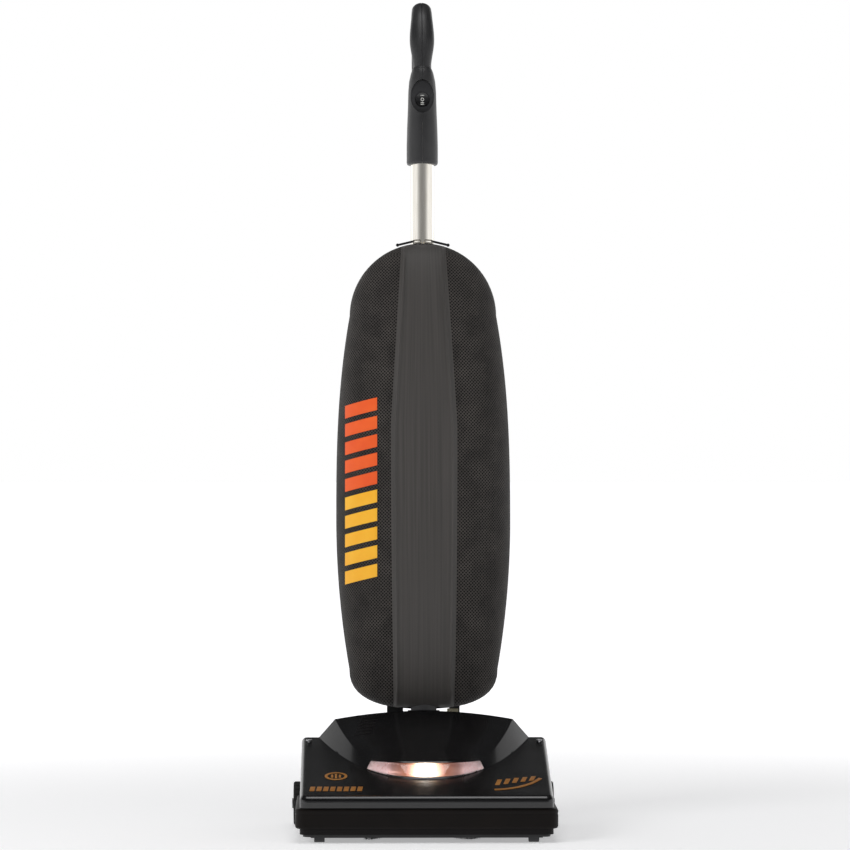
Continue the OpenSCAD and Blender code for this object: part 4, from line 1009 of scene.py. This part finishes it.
def bag_outline(inset, low=None):
    """Points round the bag's outline. With low it runs only from that height on one side to the other."""
    start = CORNER_W if low is None else low
    rise = [start + (ARC_W - start) * i / 40 for i in range(41)]
    right = [Vector((bag_half(w) - inset, 0, w)) for w in rise]
    crown = [Vector(((ARC_R - inset) * math.cos(a), 0, ARC_W + (ARC_R - inset) * math.sin(a)))
             for a in (math.pi * k / 48 for k in range(1, 48))]
    left = [Vector((-p.x, 0, p.z)) for p in right[::-1]]
    if low is not None:
        return right + crown + left
    foot = []
    for k in range(1, 24):
        a = math.pi * k / 24
        c, s = math.cos(a), math.sin(a)
        foot.append(Vector((-math.copysign((CORNER_HW - inset) * abs(c) ** 0.8, c), 0,
                            CORNER_W - (CORNER_W - BAG_LOW - inset) * s ** 0.8)))
    return right + crown + left + foot


def piping():
    """Binding round the front panel's edge."""
    path = [p + Vector((0, -GUSSET + 0.2, 0)) for p in bag_outline(2.6)]
    run = lengths(path)
    obj = bare("front_binding", sweep(path, lambda i, a: (2.6 * math.cos(a), 3.0 * math.sin(a)), 12, closed=True,
                                      flat=(0, 1, 0)), HANDLE)
    layer = obj.data.uv_layers.new(name="UVMap")
    for loop in obj.data.loops:
        p = obj.data.vertices[loop.vertex_index].co
        layer.data[loop.index].uv = (p.z + abs(p.x), p.y * 3)
    finish(obj, binding, None, sharp=60)
    bend_with_door(obj)


piping()


def back_panel():
    """Cloth over a stiff board, slightly padded, with a bound edge."""
    ws = rows_between(BAG_LOW + 2, BAG_TOP - 2.5, 60)
    cols = 36

    def at(i, j, v, puff):
        w = ws[j]
        t = 2 * i / cols - 1
        half = max(0.5, bag_half(w) - 2)
        to_edge = min((1 - abs(t)) * half, BAG_TOP - w, w - BAG_LOW)
        rise = puff * (1 - math.exp(-max(0, to_edge) / 9))
        quilt = 0.25 * noise.noise(Vector((t * half / 40, w / 50, 2)))
        return Vector((t * half, v + rise + (quilt if puff else 0), w))

    uv = lambda i, j: ((2 * i / cols - 1) * max(0.5, bag_half(ws[j]) - 2) * MM, ws[j] * MM)
    back = grid(cols, len(ws) - 1, lambda i, j: at(i, j, 1.2, 1.7), uv=uv)
    front = grid(cols, len(ws) - 1, lambda i, j: at(i, j, 0.15, 0), uv=uv)
    bm = join(back, front)
    rims = [e for e in bm.edges if e.is_boundary]
    bmesh.ops.bridge_loops(bm, edges=rims)
    obj = bare("back_board", face_out(bm), HANDLE)
    finish(obj, back_cloth, "handle", ["bag_back_panel"], sharp=50)
    rim = [p + Vector((0, 1.4, 0)) for p in bag_outline(1.9)]
    edge = bare("back_binding", sweep(rim, lambda i, a: (1.9 * math.cos(a), 1.8 * math.sin(a)), 12, closed=True,
                                      flat=(0, 1, 0)), HANDLE)
    layer = edge.data.uv_layers.new(name="UVMap")
    for loop in edge.data.loops:
        p = edge.data.vertices[loop.vertex_index].co
        layer.data[loop.index].uv = (p.z + abs(p.x), p.y * 3)
    finish(edge, binding, "handle", sharp=60)


back_panel()


def zip_side(name, low, v, replaced, teeth_v, bends):
    """One tape of the zip with its row of teeth, round the bag from one end of the zip to the other."""
    path = bag_outline(1.5, low)
    run = lengths(path)
    cols = len(path) - 1
    outward = [(path[min(i + 1, cols)] - path[max(i - 1, 0)]).cross(Vector((0, 1, 0))).normalized()
               for i in range(cols + 1)]

    def at(i, j):
        rib = 0.25 if j in (2, 4) else 0
        return path[i] + outward[i] * rib + Vector((0, v[0] + (v[1] - v[0]) * j / 6, 0))

    bm = grid(cols, 6, at, uv=lambda i, j: (run[i] * MM, j * MM))
    obj = bare(name + "_tape", bm, HANDLE)
    modify(obj, "SOLIDIFY", thickness=1.2 * MM, offset=0)
    settle(obj)
    finish(obj, zip_cloth, None if bends else "handle", [replaced], sharp=60)
    teeth = bmesh.new()
    pitch, at_run, i = 2.6, 1.3, 0
    while at_run < run[-1]:
        while run[i + 1] < at_run:
            i += 1
        share = (at_run - run[i]) / (run[i + 1] - run[i])
        here = path[i].lerp(path[i + 1], share)
        out = outward[i].lerp(outward[i + 1], share).normalized()
        along = out.cross(Vector((0, 1, 0)))
        turn = Matrix((along, Vector((0, 1, 0)), out)).transposed().to_4x4()
        place = (Matrix.Translation(here + Vector((0, teeth_v, 0)) + out * 0.5) @ turn
                 @ Matrix.Diagonal((1.3, 1.7, 1.9, 1)))
        bmesh.ops.create_cube(teeth, size=1, matrix=place)
        at_run += pitch
    row = bare(name + "_teeth", teeth, HANDLE)
    finish(row, pull_enamel, None if bends else "handle", sharp=60)
    if bends:
        bend_with_door(obj)
        bend_with_door(row)


zip_side("zip_back", 132, (-5.9, 0.2), "zipper_tape_back", -6.3, False)
zip_side("zip_front", 136, (-7.9, -GUSSET + 0.4), "zipper_tape_front", -7.7, True)


def side_bars():
    """Plain slanted bars printed up the left panel: orange above yellow."""
    tall, space, lean = 17, 7.5, 9
    w = 244
    n = 0
    while w + tall < 502:
        material = ink_orange if w > 345 else ink_yellow

        def outline(s, t, w=w):
            height = w + tall * t + lean * (s - 0.5)
            x = -104 + 42 * s
            return x / bag_half(height), height

        on_surface(f"side_bar_{n}", outline, bag_at, HANDLE, material, "bag_door", lift=0.55, steps=(10, 4))
        w += tall + space
        n += 1


side_bars()


def filter_bag():
    """Paper bag with folds across it, full of air."""
    low, high = 192, 582
    hw, v_back, v_front = 66, -44.5, -65.5
    rows, cols = 84, 40

    def at(i, j):
        a = 2 * math.pi * i / cols
        w = low + (high - low) * j / rows
        t = j / rows
        end = max(0.02, (1 - abs(2 * t - 1) ** 8)) ** 0.5
        c, s = math.cos(a), math.sin(a)
        x = math.copysign(abs(c) ** 0.35, c) * hw * (0.94 + 0.06 * end)
        fold = 0.9 * (abs((w / 14) % 2 - 1) - 0.5)
        v = (v_back + v_front) / 2 + math.copysign(abs(s) ** 0.6, s) * (abs(v_back - v_front) / 2 - 1.2 + fold) * end
        return Vector((x, v, w))

    bm = cap(grid(cols, rows, at))
    obj = piece("paper_bag", bm, HANDLE, paper, "handle", ["filter_bag"], sharp=40)


filter_bag()


# ------------------------------------------------------------------ battery

def battery():
    """Battery case: the CAD body with softer edges and ribs to hold it by."""
    bm = bmesh.new()
    bm.from_mesh(frame["nodes"]["battery_pack"].data)
    bmesh.ops.remove_doubles(bm, verts=bm.verts, dist=0.00001)
    bmesh.ops.dissolve_limit(bm, angle_limit=math.radians(1), verts=bm.verts, edges=bm.edges)
    obj = bare("battery_case", bm)
    modify(obj, "BEVEL", width=2.0 * MM, segments=4, limit_method="ANGLE", angle_limit=math.radians(60), profile=0.5,
           material=-1, use_clamp_overlap=True)
    settle(obj)
    finish(obj, case_grey, "battery", ["battery_pack"], sharp=40)
    for side in (-1, 1):
        for n in range(7):
            w = 196 + 14 * n
            if side > 0 and n == 0:
                continue
            bm = block(sorted((side * 54.6, side * 55.9)), (58, 80), (w, w + 5), edge=0.6)
            piece(f"battery_rib_{'left' if side < 0 else 'right'}_{n}", bm, HANDLE, case_grey, "battery")
    for n in range(4):
        bm = lathe([(0, 0), (2.1, 0), (2.4, 0.4), (1.8, 0.9), (0, 1.1)], 20,
                   Matrix.Translation((-12 + 8 * n, 90.4, 190)) @ Matrix.Rotation(-math.pi / 2, 4, "X"))
        piece(f"battery_light_{n}", bm, HANDLE, mark_white, "battery")


battery()


# ------------------------------------------------------------------ grip

COLLAR_W, GRIP_LOW = 944, 812
SWITCH_W, FACE_V = 900, TUBE_V - 9.8  # height of the rocker, and the floor of its recess
DISH_R, DISH_V = 26, FACE_V - 29  # the rocker's hollow face
KNOTS = [(0, -34), (2, 4), (9, 39), (24, 73), (46, 88), (62, 70), (60, 31), (44, -14), (26, -52), (6, -64)]
HALVES = [12, 12.3, 16.8, 14.6, 13.2, 13, 13.5, 13.5, 13, 12]


def spline(values, s):
    """A smooth closed run through values, at step s."""
    i = math.floor(s)
    t = s - i
    a, b, c, d = (values[(i + k) % len(values)] for k in (-1, 0, 1, 2))
    return 0.5 * (2 * b + (c - a) * t + (2 * a - 5 * b + 4 * c - d) * t * t + (3 * b - a - 3 * c + d) * t ** 3)


def grip():
    """Two moulded halves: a body round the tube, and a loop for the hand."""
    steps = 100
    path, halves = [], []
    for i in range(steps):
        s = i * len(KNOTS) / steps
        path.append(Vector((0, TUBE_V + spline([k[0] for k in KNOTS], s), COLLAR_W + spline([k[1] for k in KNOTS], s))))
        halves.append(spline(HALVES, s))
    loop = sweep(path, lambda i, a: (halves[i] * math.cos(a), 11 * math.sin(a)), 32, closed=True)
    body = lathe([(0, GRIP_LOW), (19.7, GRIP_LOW), (20.8, GRIP_LOW + 0.8), (21.2, GRIP_LOW + 3), (21.2, GRIP_LOW + 26),
                  (20.6, 862), (19.6, 886), (18.9, 912), (17.8, 926), (15.2, 938), (12.8, COLLAR_W), (0, COLLAR_W)],
                 72, Matrix.Translation((0, TUBE_V, 0)))
    whole = bare("grip", join(loop, body))
    modify(whole, "REMESH", mode="VOXEL", voxel_size=1.25, adaptivity=0)
    modify(whole, "SMOOTH", factor=0.5, iterations=5)
    settle(whole)
    oval = [(15.6 * math.cos(a), SWITCH_W + 4 + 23 * math.sin(a)) for a in (math.pi * k / 36 for k in range(72))]
    pocket = plate(oval, (-30, FACE_V))
    well = lathe([(0, FACE_V - 1), (11.8, FACE_V - 1), (11.8, FACE_V + 8.2), (0, FACE_V + 8.2)], 48,
                 Matrix.Translation((0, 0, SWITCH_W)) @ Matrix.Rotation(-math.pi / 2, 4, "X"))
    bore = lathe([(0, GRIP_LOW - 2), (16.1, GRIP_LOW - 2), (16.1, TUBE_TOP + 0.5), (0, TUBE_TOP + 0.5)], 64,
                 Matrix.Translation((0, TUBE_V, 0)))
    cut(whole, pocket, well, bore)
    for side in (-1, 1):
        bm = bmesh.new()
        bm.from_mesh(whole.data)
        made = bmesh.ops.bisect_plane(bm, geom=bm.verts[:] + bm.edges[:] + bm.faces[:], dist=0.0001,
                                      plane_co=(side * 0.1, 0, 0), plane_no=(side, 0, 0), clear_inner=True)
        seam = [g for g in made["geom_cut"] if isinstance(g, bmesh.types.BMEdge)]
        for v in {v for e in seam for v in e.verts}:
            v.co -= v.normal * 0.35
            v.co.x = side * 0.1
        bmesh.ops.triangle_fill(bm, edges=seam, use_beauty=True, use_dissolve=False)
        face_out(bm)
        name = "left" if side < 0 else "right"
        piece("grip_shell_" + name, bm, HANDLE, satin_grey, "handle", ["grip_" + name], sharp=42)
    bpy.data.objects.remove(whole)


grip()


def switch_marks():
    """Position marks on the rocker, turned to read along the handle: one, off and two."""
    for n, (w, bars) in enumerate([(5.6, (0,)), (-5.6, (-1.1, 1.1))]):
        for k, dw in enumerate(bars):
            depth = DISH_V + math.sqrt(DISH_R ** 2 - w ** 2)
            bm = block((-2.3, 2.3), (depth - 0.4, depth + 0.4), (SWITCH_W + w + dw - 0.4, SWITCH_W + w + dw + 0.4))
            piece(f"switch_mark_{n}_{k}", bm, HANDLE, mark_white, "rocker_switch")
    ring = [Vector((2.0 * math.cos(a), DISH_V + DISH_R - 0.1, SWITCH_W + 2.0 * math.sin(a)))
            for a in (2 * math.pi * k / 28 for k in range(28))]
    piece("switch_mark_off", sweep(ring, round_ring(0.4), 6, closed=True, flat=(0, 1, 0)), HANDLE, mark_white,
          "rocker_switch")


switch_marks()


# ------------------------------------------------------------------ studio

def studio():
    """A pale floor whose glow is weaker near the machine, a painted shade round it, soft white lights all round, and
    the camera low in front.
    """
    matt, tree, shader, place = blank("matt white paper sweep", Roughness=0.9, Specular_IOR_Level=0.1)
    fibre = node(tree, "ShaderNodeTexNoise", {"Vector": place, "Scale": 90, "Detail": 3})
    tone = node(tree, "ShaderNodeValToRGB", {"Fac": fibre.outputs["Fac"]}, stops=[(0.3, "#f2f2f3"), (0.7, "#f6f6f7")])
    tree.links.new(tone.outputs["Color"], shader.inputs["Base Color"])
    tree.links.new(tone.outputs["Color"], shader.inputs["Emission Color"])
    # Painted shade: the floor's glow is weaker near the machine and full further off
    distance = node(tree, "ShaderNodeVectorMath", {0: place}, operation="LENGTH").outputs["Value"]
    glow = node(tree, "ShaderNodeMapRange", {"Value": distance, "From Min": 0.4, "From Max": 2.6,
                                             "To Min": 0.42, "To Max": 1.0}, interpolation_type="SMOOTHSTEP")
    tree.links.new(glow.outputs["Result"], shader.inputs["Emission Strength"])
    floor = bmesh.new()
    bmesh.ops.create_grid(floor, x_segments=8, y_segments=8, size=40)
    ground = bare("paper_floor", floor)
    finish(ground, matt)

    # The room: white all round at eye level, dark overhead and in front, so that glossy black keeps its depth
    world = bpy.data.worlds.new("soft studio")
    bpy.context.scene.world = world
    world.use_nodes = True
    room = world.node_tree
    way = node(room, "ShaderNodeTexCoord").outputs["Generated"]
    parts = node(room, "ShaderNodeSeparateXYZ", {"Vector": way})
    walls = node(room, "ShaderNodeMapRange", {"Value": parts.outputs["Z"], "From Min": 0.3, "From Max": 0.5,
                                              "To Min": 1.0, "To Max": 0.05}, interpolation_type="SMOOTHSTEP")
    front = node(room, "ShaderNodeMapRange", {"Value": parts.outputs["Y"], "From Min": -1.0, "From Max": -0.45,
                                              "To Min": 0.26, "To Max": 1.0}, interpolation_type="SMOOTHSTEP")
    glow = node(room, "ShaderNodeMath", {0: walls.outputs["Result"], 1: front.outputs["Result"]},
                operation="MULTIPLY")
    seen = node(room, "ShaderNodeLightPath").outputs["Is Camera Ray"]
    glow = node(room, "ShaderNodeMath", {0: glow.outputs["Value"], 1: seen}, operation="MAXIMUM")
    sky = room.nodes["Background"]
    sky.inputs["Color"].default_value = (1, 1, 1, 1)
    room.links.new(glow.outputs["Value"], sky.inputs["Strength"])
    bpy.context.scene.view_settings.view_transform = "Standard"

    for name, place, aim, size, power in [
        ("key", (-2.8, -3.0, 2.4), (0, 0, 0.5), 2.0, 62),
        ("fill", (2.8, -2.8, 1.6), (0, 0, 0.6), 2.0, 8),
        ("top", (0, -0.6, 3.6), (0, 0, 0), 1.8, 30),
        ("back_left", (-2.6, 2.2, 1.9), (0, 0, 0.6), 1.8, 5),
        ("back_right", (2.6, 2.2, 1.9), (0, 0, 0.6), 1.8, 5),
    ]:
        lamp = bpy.data.lights.new(name, "AREA")
        lamp.size = size
        lamp.energy = power
        obj = bpy.data.objects.new(name, lamp)
        obj.visible_glossy = name not in ("key", "fill")
        obj.location = place
        obj.rotation_euler = (Vector(aim) - Vector(place)).to_track_quat("-Z", "Y").to_euler()
        bpy.context.scene.collection.objects.link(obj)

    camera = bpy.data.cameras.new("camera")
    camera.angle = 2 * math.atan(0.541 / 5.5)
    camera.clip_end = 40
    eye = bpy.data.objects.new("camera", camera)
    turn = math.radians(1)
    eye.location = (-0.0025 - 5.5 * math.sin(turn), pivot.y - AXLE_D * MM - 5.5 * math.cos(turn), 0.533)
    eye.rotation_euler = (math.pi / 2, 0, -turn)
    bpy.context.scene.collection.objects.link(eye)
    bpy.context.scene.camera = eye


studio()
